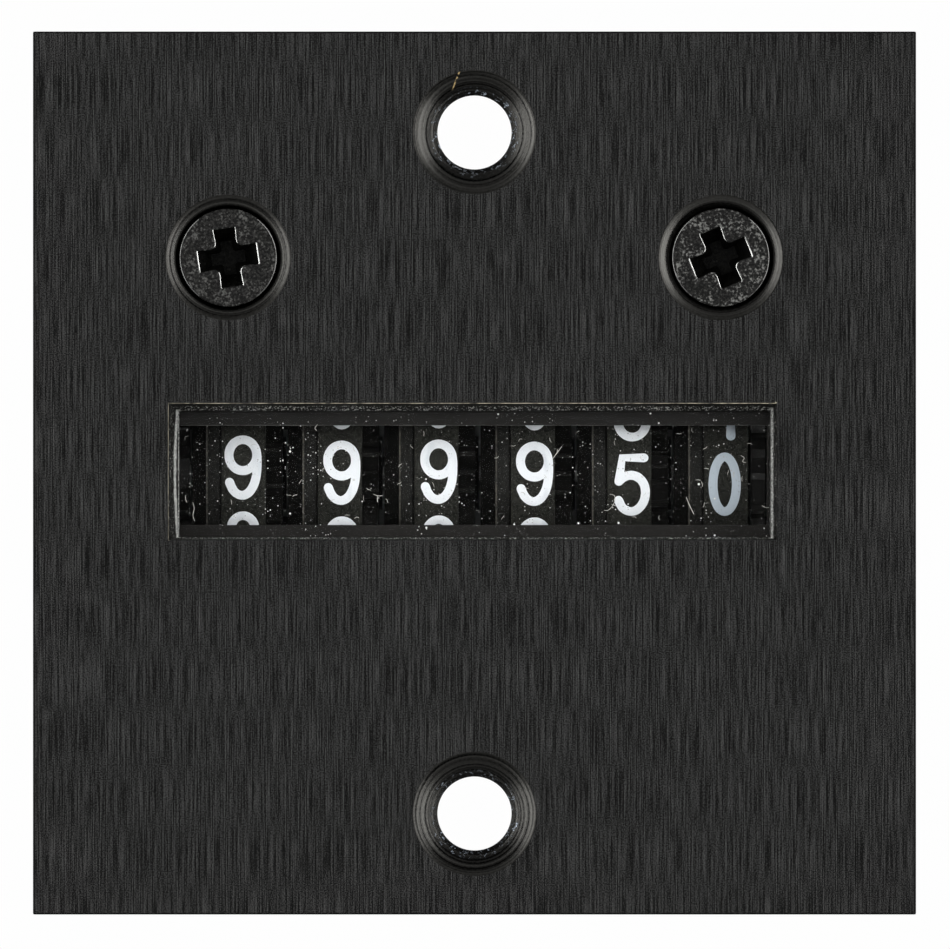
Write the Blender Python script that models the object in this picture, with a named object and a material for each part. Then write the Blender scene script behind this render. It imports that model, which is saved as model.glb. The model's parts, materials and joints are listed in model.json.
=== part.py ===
"""Panel counter with six number wheels, driven by an electromagnet.

Frame: X to the right, Y into the panel, Z up. The origin is the centre of the front plate's rear
face, where the plate meets the panel. Every size is in metres.
"""
import math

import bmesh
import bpy
from mathutils import Matrix, Vector

MM = 0.001
DEG = math.pi / 180

# General clearances and edges
SEAT_GAP = 0.3 * MM
FIT_GAP = 0.1 * MM
RUNNING_GAP = 0.05 * MM
OVERSHOOT = 1.0 * MM
UNION_SINK = 0.1 * MM

# Front plate: square sheet with a wide window and a countersunk hole above and below it
PLATE_SIZE = 50.0 * MM
PLATE_T = 3.0 * MM
PLATE_EDGE = 0.15 * MM
WINDOW_H = 7.72 * MM
WINDOW_X = -0.1 * MM
WINDOW_Z = 0.07 * MM
WINDOW_SIDE_SLOPE = 0.5 * MM
WINDOW_END_SLOPE = 0.33 * MM
MOUNT_INSET = 5.7 * MM
MOUNT_HOLE_R = 2.1 * MM
MOUNT_SINK_R = 3.5 * MM
HOLE_SEGMENTS = 40

# Plate screws: countersunk M3 with a cross recess
SCREW_SPACING = 27.9 * MM
SCREW_Z = 12.2 * MM
SCREW_SHANK_R = 1.5 * MM
SCREW_HEAD_R = 2.775 * MM
SCREW_HEAD_RIM = 0.15 * MM
SCREW_SINK_R = 3.52 * MM
SCREW_LENGTH = 10.0 * MM
SCREW_POINT = 0.5 * MM
RECESS_SPAN = 3.6 * MM
RECESS_WING = 1.15 * MM
RECESS_DEPTH = 1.5 * MM
RECESS_TAPER = 0.5
SCREW_SEGMENTS = 32
LEFT_RECESS_TURN = 8.4 * DEG
RIGHT_RECESS_TURN = 22.0 * DEG

# Moulded case behind the plate
CASE_W = 43.0 * MM
CASE_SIDE_ROOM = 1.8 * MM
CASE_WALL = 1.2 * MM
CASE_CORNER_R = 1.2 * MM
SIGHT_INSET = 0.8 * MM
SIGHT_TOP_MARGIN = 1.23 * MM
SIGHT_BOTTOM_MARGIN = 0.84 * MM
SIGHT_WALL = 1.4 * MM
LENS_OVERLAP = 1.15 * MM
LENS_T = 1.2 * MM
LENS_CORNER_R = 0.6 * MM
SCREW_BOSS_R = 2.9 * MM
BOSS_COVER = 0.1 * MM
SCREW_BOSS_END = 2.2 * MM
CASE_INNER_R = 0.3 * MM
RAIL_H = 1.2 * MM
RAIL_Z = 4.2 * MM
RAIL_LENGTH = 24.0 * MM

# Rear cover and its screws
COVER_T = 1.7 * MM
COVER_EDGE = 0.4 * MM
COVER_RIB_DEPTH = 1.2 * MM
COVER_RIB_H = 2.4 * MM
COVER_SCREW_INSET = 6.0 * MM
COVER_SCREW_SHANK_R = 1.1 * MM
COVER_SCREW_HEAD_R = 2.0 * MM
COVER_SCREW_HEAD_H = 1.4 * MM
COVER_SCREW_HEAD_CURVE = ((0.0, 0.72), (0.35, 0.94), (0.7, 1.0))
COVER_SCREW_LENGTH = 8.0 * MM
COVER_RECESS_SPAN = 2.3 * MM
COVER_RECESS_WING = 0.7 * MM
COVER_RECESS_DEPTH = 0.8 * MM
COVER_BOSS_R = 2.4 * MM
COVER_BOSS_DROP = 0.4 * MM
COVER_BOSS_END = 4.2 * MM
BOSS_WEB_SHARE = 0.6
COLLAR_H = 1.5 * MM
COLLAR_WALL = 1.2 * MM

# Number wheels
WHEEL_R = 6.93 * MM
WHEEL_ROOM = 0.07 * MM
WHEEL_SIDE_ROOM = 0.3 * MM
FLANGE_W = 0.88 * MM
GROOVE_W = 0.12 * MM
GROOVE_DEPTH = 0.1 * MM
GEAR_W = 0.95 * MM
CARRY_W = 0.85 * MM
HUB_R = 2.1 * MM
RING_WALL = 0.35 * MM
FLANGE_WEB = 1.0 * MM
SHAFT_R = 1.0 * MM
WHEEL_SEGMENTS = 40
BORE_SEGMENTS = 20
SHAFT_SEGMENTS = 16
WHEEL_NAMES = (
    "units_wheel",
    "tens_wheel",
    "hundreds_wheel",
    "thousands_wheel",
    "ten_thousands_wheel",
    "hundred_thousands_wheel",
)
WHEEL_REST_TURN = (5.4 * DEG, 5.6 * DEG, 0.5 * DEG, -0.5 * DEG, 0.0, -2.5 * DEG)

# Carry train: 20-tooth rings on the wheels, a step below their bands, and 8-tooth pinions behind them
RING_TEETH = 20
RING_STEP = 0.33 * MM
PINION_TEETH = 8
GEAR_MODULE = (WHEEL_R - RING_STEP) / (RING_TEETH / 2 + 1)
ADDENDUM = GEAR_MODULE
DEDENDUM = 4 / 3 * GEAR_MODULE
PINION_TIP_CUT = 0.1 * MM
BACKLASH = 0.18 * MM
PRESSURE_ANGLE = 20 * DEG
TIP_RELIEF = 0.04 * MM
PINION_ANGLE = -60 * DEG
PINION_PLAY = 0.1 * MM
PINION_SHAFT_R = 0.6 * MM
CARRY_OPENING = 0.15 * MM
CARRY_NOTCH_ANGLE = 54 * DEG
CARRY_NOTCH_DEPTH = 1.0 * MM
CARRY_TOOTH_ANGLE = 8 * DEG
CARRY_SEGMENTS = 32
ROOT_LIMIT = 0.9
WHEEL_END_PLAY = 0.1 * MM

# Ratchet on the units wheel, and the verge that steps it
RATCHET_TEETH = 10
RATCHET_TIP_R = 5.0 * MM
RATCHET_ROOT_R = 3.9 * MM
RATCHET_T = 0.8 * MM
RATCHET_OFFSET = 0.2 * MM
RATCHET_CREST = (0.42, 0.58)
RATCHET_FALL = 0.86
VERGE_CLEARANCE = 0.12 * MM
VERGE_LIFT = 0.66 * MM
ENTRY_ANGLE = 75 * DEG
EXIT_ANGLE = -15 * DEG
PALLET_W = 1.0 * MM

# Corners of the pallets, as pallet widths outwards and along the ratchet's rim
ENTRY_CORNERS = ((2.0, -2.2), (1.9, 0.0), (0.0, 0.2), (0.0, -0.4), (0.9, -1.4))
EXIT_CORNERS = ((1.0, 1.4), (0.0, 0.4), (0.0, -0.2), (1.8, 0.0))
VERGE_BRIDGE = 1.4 * MM

# Bent sheet frame
FRAME_T = 1.0 * MM
FRAME_FRONT_ROOM = 0.4 * MM
FRAME_REAR_ROOM = 0.7 * MM
FRAME_WEB_ROOM = 0.6 * MM
FRAME_TOP = 8.6 * MM
FRAME_STEP_L = 12.8 * MM
FRAME_STEP_DROP = 3.4 * MM
FRAME_NOSE_SLOPE = 1.4 * MM
STOP_TAB_W = 6.0 * MM
STOP_TAB_T = 0.7 * MM
STOP_TAB_OVERLAP = 1.5 * MM
LEFT_BUSH_FLANGE_T = 1.0 * MM
RIGHT_BUSH_FLANGE_T = 0.42 * MM
BUSH_FLANGE_R = 2.6 * MM
BUSH_BODY_R = 1.7 * MM
BUSH_PROUD = 0.1 * MM
CLIP_T = 0.4 * MM
CLIP_OUTER_R = 2.1 * MM
CLIP_OPENING = 70 * DEG
CLIP_GROOVE_R = 0.7 * MM
SHAFT_END = 0.45 * MM
PINION_HEAD_R = 1.0 * MM
PINION_HEAD_T = 0.4 * MM

# Electromagnet: armature hinged at the front of the yoke's top arm
HINGE_Z = 9.0 * MM
ARMATURE_T = 1.5 * MM
ARMATURE_W = 12.0 * MM
ARMATURE_BOTTOM = -6.5 * MM
ARMATURE_SWING = 4.5 * DEG
BARREL_R = 1.5 * MM
BARREL_W = 13.2 * MM
PIN_R = 0.75 * MM
PIN_HEAD_R = 1.3 * MM
PIN_HEAD_T = 0.5 * MM
ARM_H = 2.5 * MM
ARM_DROP = 0.4 * MM
ARM_END_ROOM = 0.43 * MM
TAIL_X = -3.0 * MM
TAIL_W = 2.6 * MM
TAIL_COVER = 1.2 * MM
SPRING_ROOM = 0.8 * MM
SPRING_HOLE_R = 0.5 * MM
SPRING_WIRE_R = 0.18 * MM
SPRING_COIL_R = 0.9 * MM
SPRING_TURNS = 7
SPRING_STEPS = 8
SPRING_TAIL = 0.9 * MM
YOKE_T = 1.6 * MM
YOKE_BOTTOM = -8.0 * MM
YOKE_LUG_T = 1.0 * MM
YOKE_LUG_R = 1.6 * MM
YOKE_WING_H = 5.0 * MM
YOKE_TAB_H = 3.0 * MM
ANCHOR_SETBACK = 5.0 * MM
ANCHOR_T = 1.0 * MM
CORE_R = 3.0 * MM
CORE_NECK_R = 1.8 * MM
CORE_HEAD_R = 2.6 * MM
CORE_HEAD_T = 0.8 * MM
POLE_GAP = 0.2 * MM
BOBBIN_BARREL_T = 0.9 * MM
BOBBIN_FLANGE_T = 1.2 * MM
BOBBIN_W = 15.0 * MM
BOBBIN_ROOM = 1.0 * MM
BOBBIN_REAR_W = 18.0 * MM
BOBBIN_LENGTH = 12.0 * MM
BOBBIN_FOOT_COVER = 0.7 * MM
BOBBIN_CORNER_R = 1.5 * MM
BOBBIN_SETBACK = 0.9 * MM
WINDING_INSET = 0.6 * MM

# Rivet that joins the verge to the armature's arm
RIVET_INSET = 1.7 * MM
RIVET_R = 0.55 * MM
RIVET_HEAD_R = 1.0 * MM
RIVET_HEAD_T = 0.35 * MM
RIVET_HEAD_TOP_R = 0.6 * MM
FOOT_T = 0.6 * MM
FOOT_W = 4.2 * MM

# Blade terminals
TERMINAL_X = 6.0 * MM
TERMINAL_DROP = 1.2 * MM
TERMINAL_W = 2.8 * MM
TERMINAL_T = 0.8 * MM
TERMINAL_BLADE_T = 0.5 * MM
TERMINAL_ROOT_L = 0.5 * MM
TERMINAL_INSIDE = 1.4 * MM
TERMINAL_OUTSIDE = 7.0 * MM
TERMINAL_SHOULDER_W = 4.2 * MM
TERMINAL_SHOULDER_L = 1.0 * MM
TERMINAL_EYE_R = 0.65 * MM
TERMINAL_EYE_INSET = 2.4 * MM
TERMINAL_POINT = 0.7 * MM
ROUND_SEGMENTS = 20
SMALL_SEGMENTS = 12
LUG_SEGMENTS = 10
AXIS_MARK = 5.0 * MM

# Colour, roughness and metallic value of each finish
FINISHES = {
    "black_anodised": ((0.028, 0.028, 0.028, 1.0), 0.42, 0.6),
    "black_screw": ((0.035, 0.034, 0.033, 1.0), 0.5, 0.5),
    "case_moulding": ((0.02, 0.019, 0.018, 1.0), 0.45, 0.0),
    "clear_lens": ((0.95, 0.96, 0.96, 0.15), 0.05, 0.0),
    "wheel_plastic": ((0.034, 0.034, 0.032, 1.0), 0.55, 0.0),
    "black_acetal": ((0.016, 0.016, 0.015, 1.0), 0.45, 0.0),
    "pinion_plastic": ((0.55, 0.53, 0.48, 1.0), 0.4, 0.0),
    "zinc_steel": ((0.5, 0.5, 0.49, 1.0), 0.35, 1.0),
    "bright_steel": ((0.62, 0.62, 0.62, 1.0), 0.25, 1.0),
    "brass": ((0.72, 0.53, 0.24, 1.0), 0.3, 1.0),
    "bobbin_plastic": ((0.62, 0.6, 0.54, 1.0), 0.5, 0.0),
    "copper_winding": ((0.6, 0.24, 0.1, 1.0), 0.35, 0.9),
}


def clear_scene():
    """Remove every object of the scene."""
    for old in list(bpy.data.objects):
        bpy.data.objects.remove(old, do_unlink=True)


def finish_material(name):
    """Return the material of a finish, made once."""
    if name in bpy.data.materials:
        return bpy.data.materials[name]
    colour, roughness, metallic = FINISHES[name]
    material = bpy.data.materials.new(name)
    material.use_nodes = True
    shader = material.node_tree.nodes["Principled BSDF"]
    shader.inputs["Base Color"].default_value = colour
    shader.inputs["Alpha"].default_value = colour[3]
    shader.inputs["Roughness"].default_value = roughness
    shader.inputs["Metallic"].default_value = metallic
    material.diffuse_color = colour
    return material


def mesh_object(name, bm):
    """Turn a bmesh into an object whose faces point outwards."""
    bmesh.ops.remove_doubles(bm, verts=bm.verts, dist=1e-7)
    bmesh.ops.recalc_face_normals(bm, faces=bm.faces)
    mesh = bpy.data.meshes.new(name)
    bm.to_mesh(mesh)
    bm.free()
    obj = bpy.data.objects.new(name, mesh)
    bpy.context.scene.collection.objects.link(obj)
    return obj


def point_on(axis, along, u, v):
    """Place a point at a distance along an axis: u, v are Y, Z for X, X, Z for Y and X, Y for Z."""
    if axis == "X":
        return Vector((along, u, v))
    if axis == "Y":
        return Vector((u, along, v))
    return Vector((u, v, along))


def loft(name, axis, sections):
    """Closed solid through sections [(distance along the axis, outline), ...] of equal length."""
    bm = bmesh.new()
    rings = []
    for along, outline in sections:
        rings.append([bm.verts.new(point_on(axis, along, u, v)) for u, v in outline])
    bm.faces.new(rings[0])
    bm.faces.new(rings[-1])
    for low, high in zip(rings, rings[1:]):
        for i in range(len(low)):
            k = (i + 1) % len(low)
            bm.faces.new((low[i], low[k], high[k], high[i]))
    return mesh_object(name, bm)


def prism(name, axis, low, high, outline):
    """Straight extrusion of an outline along an axis."""
    return loft(name, axis, [(low, outline), (high, outline)])


def turned(name, axis, centre, profile, segments=ROUND_SEGMENTS):
    """Turn a closed profile [(distance along the axis, radius), ...] about an axis through centre."""
    bm = bmesh.new()
    rim = [bm.verts.new(point_on(axis, along, radius, 0.0)) for along, radius in profile]
    edges = [bm.edges.new((rim[i], rim[(i + 1) % len(rim)])) for i in range(len(rim))]
    bmesh.ops.spin(
        bm,
        geom=rim + edges,
        cent=(0, 0, 0),
        axis=point_on(axis, 1.0, 0.0, 0.0),
        angle=2 * math.pi,
        steps=segments,
        use_merge=True,
    )
    bmesh.ops.remove_doubles(bm, verts=bm.verts, dist=1e-7)
    flat = [edge for edge in bm.edges if not edge.link_faces]
    bmesh.ops.delete(bm, geom=flat, context="EDGES")
    bmesh.ops.translate(bm, verts=bm.verts, vec=point_on(axis, 0.0, centre[0], centre[1]))
    return mesh_object(name, bm)


def box(name, low, high):
    """Plain block between two corners."""
    outline = [(low[0], low[2]), (high[0], low[2]), (high[0], high[2]), (low[0], high[2])]
    return prism(name, "Y", low[1], high[1], outline)


def cylinder(name, axis, low, high, radius, centre, segments=ROUND_SEGMENTS):
    """Round bar along an axis."""
    return prism(name, axis, low, high, circle(radius, centre, segments))


def circle(radius, centre=(0.0, 0.0), segments=ROUND_SEGMENTS):
    """Points of a circle."""
    return arc(radius, 0.0, 2 * math.pi * (1 - 1 / segments), segments, centre)


def arc(radius, start, end, count, centre=(0.0, 0.0)):
    """Points of an arc from start to end, both included."""
    points = []
    for i in range(count):
        angle = start + (end - start) * i / (count - 1)
        points.append((centre[0] + radius * math.cos(angle), centre[1] + radius * math.sin(angle)))
    return points


def rounded_rectangle(left, right, bottom, top, radius, steps=4):
    """Rectangle with round corners, as points in order."""
    corners = (
        (right - radius, top - radius, 0),
        (left + radius, top - radius, 90),
        (left + radius, bottom + radius, 180),
        (right - radius, bottom + radius, 270),
    )
    points = []
    for u, v, start in corners:
        points += arc(radius, start * DEG, (start + 90) * DEG, steps, (u, v))
    return points


def rectangle(width, height, centre=(0.0, 0.0)):
    """Corners of a rectangle."""
    half_w = width / 2
    half_h = height / 2
    u, v = centre
    return [
        (u - half_w, v - half_h),
        (u + half_w, v - half_h),
        (u + half_w, v + half_h),
        (u - half_w, v + half_h),
    ]


def combine(target, tools, operation):
    """Cut tools from target, or join them to it, and drop them."""
    for tool in tools:
        modifier = target.modifiers.new("work", "BOOLEAN")
        modifier.operation = operation
        modifier.solver = "EXACT"
        modifier.object = tool
        bpy.context.view_layer.update()
        graph = bpy.context.evaluated_depsgraph_get()
        result = bpy.data.meshes.new_from_object(target.evaluated_get(graph))
        target.modifiers.clear()
        old = target.data
        target.data = result
        bpy.data.meshes.remove(old)
        bpy.data.objects.remove(tool, do_unlink=True)
    return target


def cut(target, *tools):
    """Cut tools from target."""
    return combine(target, tools, "DIFFERENCE")


def join(target, *tools):
    """Join tools to target."""
    return combine(target, tools, "UNION")


def dress(obj, finish, smooth_angle=30 * DEG):
    """Give a finished piece its material and smooth its round faces."""
    obj.data.name = obj.name
    obj.data.materials.clear()
    obj.data.materials.append(finish_material(finish))
    obj.data.shade_smooth()
    obj.data.set_sharp_from_angle(angle=smooth_angle)
    return obj


def set_origin(obj, place):
    """Move the origin of a piece to a place, with the piece left where it is."""
    obj.data.transform(Matrix.Translation(-Vector(place)))
    obj.location = place
    return obj


def pitch_r(teeth):
    """Pitch radius of a gear."""
    return teeth * GEAR_MODULE / 2


def ring_root_r():
    """Radius at the roots of a wheel's gear ring."""
    return pitch_r(RING_TEETH) - DEDENDUM


def frame_outer_x():
    """Outer face of the frame's side plates, on the right."""
    return CASE_W / 2 - CASE_WALL - CASE_SIDE_ROOM


def frame_inner_x():
    """Inner face of the frame's side plates, on the right."""
    return frame_outer_x() - FRAME_T


def train_left():
    """Left end of the row of wheels."""
    return WHEEL_END_PLAY + LEFT_BUSH_FLANGE_T + SEAT_GAP - frame_inner_x()


def train_right():
    """Right end of the row of wheels."""
    return frame_inner_x() - SEAT_GAP - RIGHT_BUSH_FLANGE_T - WHEEL_END_PLAY


def wheel_pitch():
    """Distance from one number wheel to the next."""
    return (train_right() - train_left() + WHEEL_END_PLAY) / len(WHEEL_NAMES)


def band_w():
    """Width of a wheel's number band, which takes what its flange, disc and ring leave."""
    return wheel_pitch() - FLANGE_W - GEAR_W - CARRY_W - WHEEL_SIDE_ROOM


def wheel_left():
    """Left end of a wheel's carry disc, measured from the middle of its band."""
    return -band_w() / 2 - FLANGE_W - CARRY_W


def wheel_right():
    """Right end of a wheel's hub, measured from the middle of its band."""
    return wheel_left() + wheel_pitch() - WHEEL_END_PLAY


def wheel_x(order):
    """Centre of a wheel's number band, for the order of its digit from the units up."""
    return train_right() - wheel_right() - order * wheel_pitch()


def case_front():
    """Front face of the case, just behind the plate."""
    return SEAT_GAP


def lens_back():
    """Rear face of the pane."""
    return SEAT_GAP + LENS_T


def sight_wall_back():
    """Rear face of the case's front wall."""
    return lens_back() + SEAT_GAP + SIGHT_WALL


def wheel_y():
    """Distance of the wheel shaft behind the panel plane."""
    ring_tip_r = pitch_r(RING_TEETH) + ADDENDUM
    return sight_wall_back() + WHEEL_ROOM + max(WHEEL_R, ring_tip_r)


def pinion_centre():
    """Place of the pinion shaft in Y and Z."""
    distance = pitch_r(RING_TEETH) + pitch_r(PINION_TEETH)
    return (
        wheel_y() + distance * math.cos(PINION_ANGLE),
        distance * math.sin(PINION_ANGLE),
    )


def pinion_tip_r():
    """Outside radius of a pinion."""
    return pitch_r(PINION_TEETH) + ADDENDUM - PINION_TIP_CUT


def carry_disc_r():
    """Outside radius of a wheel's carry disc, which stays clear of the pinions."""
    return pitch_r(RING_TEETH) + pitch_r(PINION_TEETH) - pinion_tip_r() - CARRY_OPENING


def train_back():
    """Rearmost reach of the wheels and the pinions."""
    return max(wheel_y() + WHEEL_R, pinion_centre()[0] + pinion_tip_r())


def tab_front():
    """Front face of the frame's stop tab."""
    return train_back() + SEAT_GAP


def armature_front():
    """Front face of the armature, resting near the stop tab."""
    return tab_front() + STOP_TAB_T + SEAT_GAP


def hinge_y():
    """Distance of the armature's hinge behind the panel plane."""
    return armature_front() + ARMATURE_T / 2


def hinge():
    """Place of the armature's hinge in Y and Z."""
    return (hinge_y(), HINGE_Z)


def arm_top():
    """Upper edge of the armature's arm, below the yoke's lugs."""
    return HINGE_Z - YOKE_LUG_R - ARM_DROP


def rivet_place():
    """Place of the verge's rivet in X and Z."""
    return (arm_end_x() - RIVET_INSET, arm_top() - ARM_H / 2)


def arm_end_x():
    """Right end of the armature's arm, just short of the verge's plate."""
    return verge_left() - ARM_END_ROOM


def verge_left():
    """Left face of the ratchet and of the verge's plate beside it."""
    return wheel_x(0) + band_w() / 2 + RATCHET_OFFSET


def pole_face():
    """Place of the core's front face, reached by the armature at full swing."""
    lever = HINGE_Z + CORE_R
    return armature_front() + ARMATURE_T + lever * math.tan(ARMATURE_SWING) + POLE_GAP


def bobbin_front():
    """Front face of the bobbin."""
    return pole_face() + BOBBIN_SETBACK


def bobbin_back():
    """Rear face of the bobbin."""
    return bobbin_front() + BOBBIN_LENGTH


def yoke_front():
    """Front face of the yoke's back plate."""
    return bobbin_back() + SEAT_GAP


def yoke_rear():
    """Rear face of the yoke's back plate."""
    return yoke_front() + YOKE_T


def yoke_w():
    """Width of the yoke, whose lugs stand at the ends of the armature's barrel."""
    return max(BARREL_W, ARMATURE_W) + 2 * YOKE_LUG_T + 2 * SEAT_GAP


def yoke_top():
    """Upper face of the yoke's top arm."""
    return HINGE_Z + YOKE_T / 2


def bobbin_half_h():
    """Half of the bobbin's height, below the yoke's top arm."""
    return HINGE_Z - YOKE_T / 2 - BOBBIN_ROOM


def spring_z():
    """Height of the return spring above the wheel shaft."""
    return yoke_top() + SPRING_ROOM + SPRING_COIL_R + SPRING_WIRE_R


def tail_top():
    """Upper end of the armature's tail and of the spring's anchor."""
    return spring_z() + TAIL_COVER


def anchor_y():
    """Front face of the spring's anchor on the yoke."""
    return yoke_rear() - ANCHOR_SETBACK


def terminal_z():
    """Height of the blade terminals, which pass below the yoke."""
    return YOKE_BOTTOM - TERMINAL_DROP - TERMINAL_T / 2


def sight_half_w():
    """Half of the width of the sight opening, inside the frame's side plates."""
    return frame_inner_x() - SIGHT_INSET


def window_half_w():
    """Half of the width of the plate's window at its front."""
    return sight_half_w() + WINDOW_SIDE_SLOPE


def frame_bottom():
    """Underside of the frame's web, which passes below the pinions and the terminals."""
    web_top = min(pinion_centre()[1] - pinion_tip_r(), terminal_z()) - FRAME_WEB_ROOM
    return web_top - FRAME_T


def frame_rear():
    """Rear edge of the frame's side plates."""
    return yoke_rear() + FRAME_REAR_ROOM


def case_top():
    """Top face of the case, over its screw bosses and over the spring's anchor."""
    inside = max(SCREW_Z + SCREW_BOSS_R + BOSS_COVER - CASE_WALL, tail_top() + SEAT_GAP)
    return inside + CASE_WALL


def case_bottom():
    """Bottom face of the case."""
    return frame_bottom() - SEAT_GAP - CASE_WALL


def cover_front():
    """Front face of the rear cover, whose ribs stand behind the frame."""
    return frame_rear() + SEAT_GAP + COVER_RIB_DEPTH


def cover_back():
    """Rear face of the rear cover."""
    return cover_front() + COVER_T


def case_rear():
    """Rear edge of the case."""
    return cover_front() - SEAT_GAP


def plate_screw_face():
    """Face of a plate screw's head, sunk a little into the plate."""
    return -PLATE_T + SCREW_SINK_R - SCREW_HEAD_R - SEAT_GAP * math.sqrt(2)


def plate_screw_tip():
    """Rear end of a plate screw."""
    return plate_screw_face() + SCREW_LENGTH


def cover_screw_tip():
    """Front end of a cover screw."""
    return cover_back() + SEAT_GAP - COVER_SCREW_LENGTH


def cover_screw_x():
    """Distance of the cover screws from the middle."""
    return CASE_W / 2 - COVER_SCREW_INSET


def cover_screw_z():
    """Height of the cover screws, in bosses just below the case's top wall."""
    return case_top() - CASE_WALL - COVER_BOSS_DROP - COVER_BOSS_R


def tooth_outline(teeth, root_r, tip_r, skip=1):
    """Outline of straight-flanked teeth with a gap centred on angle zero.

    Args:
        teeth: teeth around the full circle.
        root_r: radius at the roots.
        tip_r: radius at the tips.
        skip: 2 leaves out every other tooth.
    """
    slope = math.tan(PRESSURE_ANGLE)
    pitch_half = (math.pi * GEAR_MODULE / 2 - BACKLASH) / 2
    tip_half = pitch_half - slope * (tip_r - pitch_r(teeth)) - TIP_RELIEF
    root_half = pitch_half + slope * (pitch_r(teeth) - root_r)
    root_half = min(root_half, ROOT_LIMIT * math.pi * root_r / teeth)
    corners = ((root_r, -root_half), (tip_r, -tip_half), (tip_r, tip_half), (root_r, root_half))
    points = []
    for i in range(0, teeth, skip):
        middle = (i + 0.5) * 2 * math.pi / teeth
        for radius, half in corners:
            angle = middle + math.asin(half / radius)
            points.append((radius * math.cos(angle), radius * math.sin(angle)))
    return points


def front_plate():
    """Square plate with its window, two countersunk mounting holes and two countersunk screw holes."""
    full = rectangle(PLATE_SIZE, PLATE_SIZE)
    inner = rectangle(PLATE_SIZE - 2 * PLATE_EDGE, PLATE_SIZE - 2 * PLATE_EDGE)
    plate = loft(
        "front_plate",
        "Y",
        [(-PLATE_T, inner), (-PLATE_T + PLATE_EDGE, full), (0.0, full)],
    )
    width = 2 * window_half_w()
    centre = (WINDOW_X, WINDOW_Z)
    slope = 1 + OVERSHOOT / PLATE_T
    mouth = rectangle(
        width - 2 * WINDOW_SIDE_SLOPE * (1 - slope),
        WINDOW_H - 2 * WINDOW_END_SLOPE * (1 - slope),
        centre,
    )
    back = rectangle(
        width - 2 * WINDOW_SIDE_SLOPE * slope,
        WINDOW_H - 2 * WINDOW_END_SLOPE * slope,
        centre,
    )
    window = loft("window", "Y", [(-PLATE_T - OVERSHOOT, mouth), (OVERSHOOT, back)])
    tools = [window]
    mount_z = PLATE_SIZE / 2 - MOUNT_INSET
    for z in (mount_z, -mount_z):
        tools.append(countersink(0.0, z, MOUNT_SINK_R, MOUNT_HOLE_R, HOLE_SEGMENTS))
    for x in (-SCREW_SPACING / 2, SCREW_SPACING / 2):
        hole_r = SCREW_SHANK_R + SEAT_GAP
        tools.append(countersink(x, SCREW_Z, SCREW_SINK_R, hole_r, SCREW_SEGMENTS))
    return dress(cut(plate, *tools), "black_anodised")


def countersink(x, z, sink_r, hole_r, segments):
    """Cutter of a 90 degree countersunk hole in the plate."""
    profile = [
        (-PLATE_T - OVERSHOOT, 0.0),
        (-PLATE_T - OVERSHOOT, sink_r + OVERSHOOT),
        (-PLATE_T + sink_r - hole_r, hole_r),
        (OVERSHOOT, hole_r),
        (OVERSHOOT, 0.0),
    ]
    return turned("countersink", "Y", (x, z), profile, segments)


def cross_outline(span, wing):
    """Outline of a cross recess."""
    far = span / 2
    near = wing / 2
    points = []
    for turn in range(4):
        c = round(math.cos(turn * math.pi / 2))
        s = round(math.sin(turn * math.pi / 2))
        for u, v in ((near, near), (far, near), (far, -near)):
            points.append((u * c + v * s, -u * s + v * c))
    return points


def cross_cutter(face, span, wing, depth, inward):
    """Cutter of a cross recess that starts at a face and narrows inward, which is 1 or -1 along Y."""
    floor = cross_outline(span * RECESS_TAPER, wing * (1 + RECESS_TAPER) / 2)
    mouth = cross_outline(span, wing)
    sections = [
        (face - inward * OVERSHOOT, mouth),
        (face, mouth),
        (face + inward * depth, floor),
    ]
    return loft("recess", "Y", sections)


def plate_screw(name, x, recess_turn):
    """Countersunk screw, seated in the plate and reaching into the case's boss."""
    face = plate_screw_face()
    shoulder = face + SCREW_HEAD_RIM + SCREW_HEAD_R - SCREW_SHANK_R
    tip = plate_screw_tip()
    profile = [
        (face, 0.0),
        (face, SCREW_HEAD_R - SCREW_HEAD_RIM / 2),
        (face + SCREW_HEAD_RIM / 2, SCREW_HEAD_R),
        (face + SCREW_HEAD_RIM, SCREW_HEAD_R),
        (shoulder, SCREW_SHANK_R),
        (tip - SCREW_POINT, SCREW_SHANK_R),
        (tip, SCREW_SHANK_R - SCREW_POINT),
        (tip, 0.0),
    ]
    screw = turned(name, "Y", (0.0, 0.0), profile, SCREW_SEGMENTS)
    cut(screw, cross_cutter(face, RECESS_SPAN, RECESS_WING, RECESS_DEPTH, 1))
    screw.location = (x, 0.0, SCREW_Z)
    screw.rotation_euler.y = -recess_turn
    return dress(screw, "black_screw")


def lens_outline(grow):
    """Outline of the pane, grown all round."""
    half_w = window_half_w() + LENS_OVERLAP + grow
    half_h = WINDOW_H / 2 + LENS_OVERLAP + grow
    return rounded_rectangle(
        WINDOW_X - half_w,
        WINDOW_X + half_w,
        WINDOW_Z - half_h,
        WINDOW_Z + half_h,
        LENS_CORNER_R + grow,
    )


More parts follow.
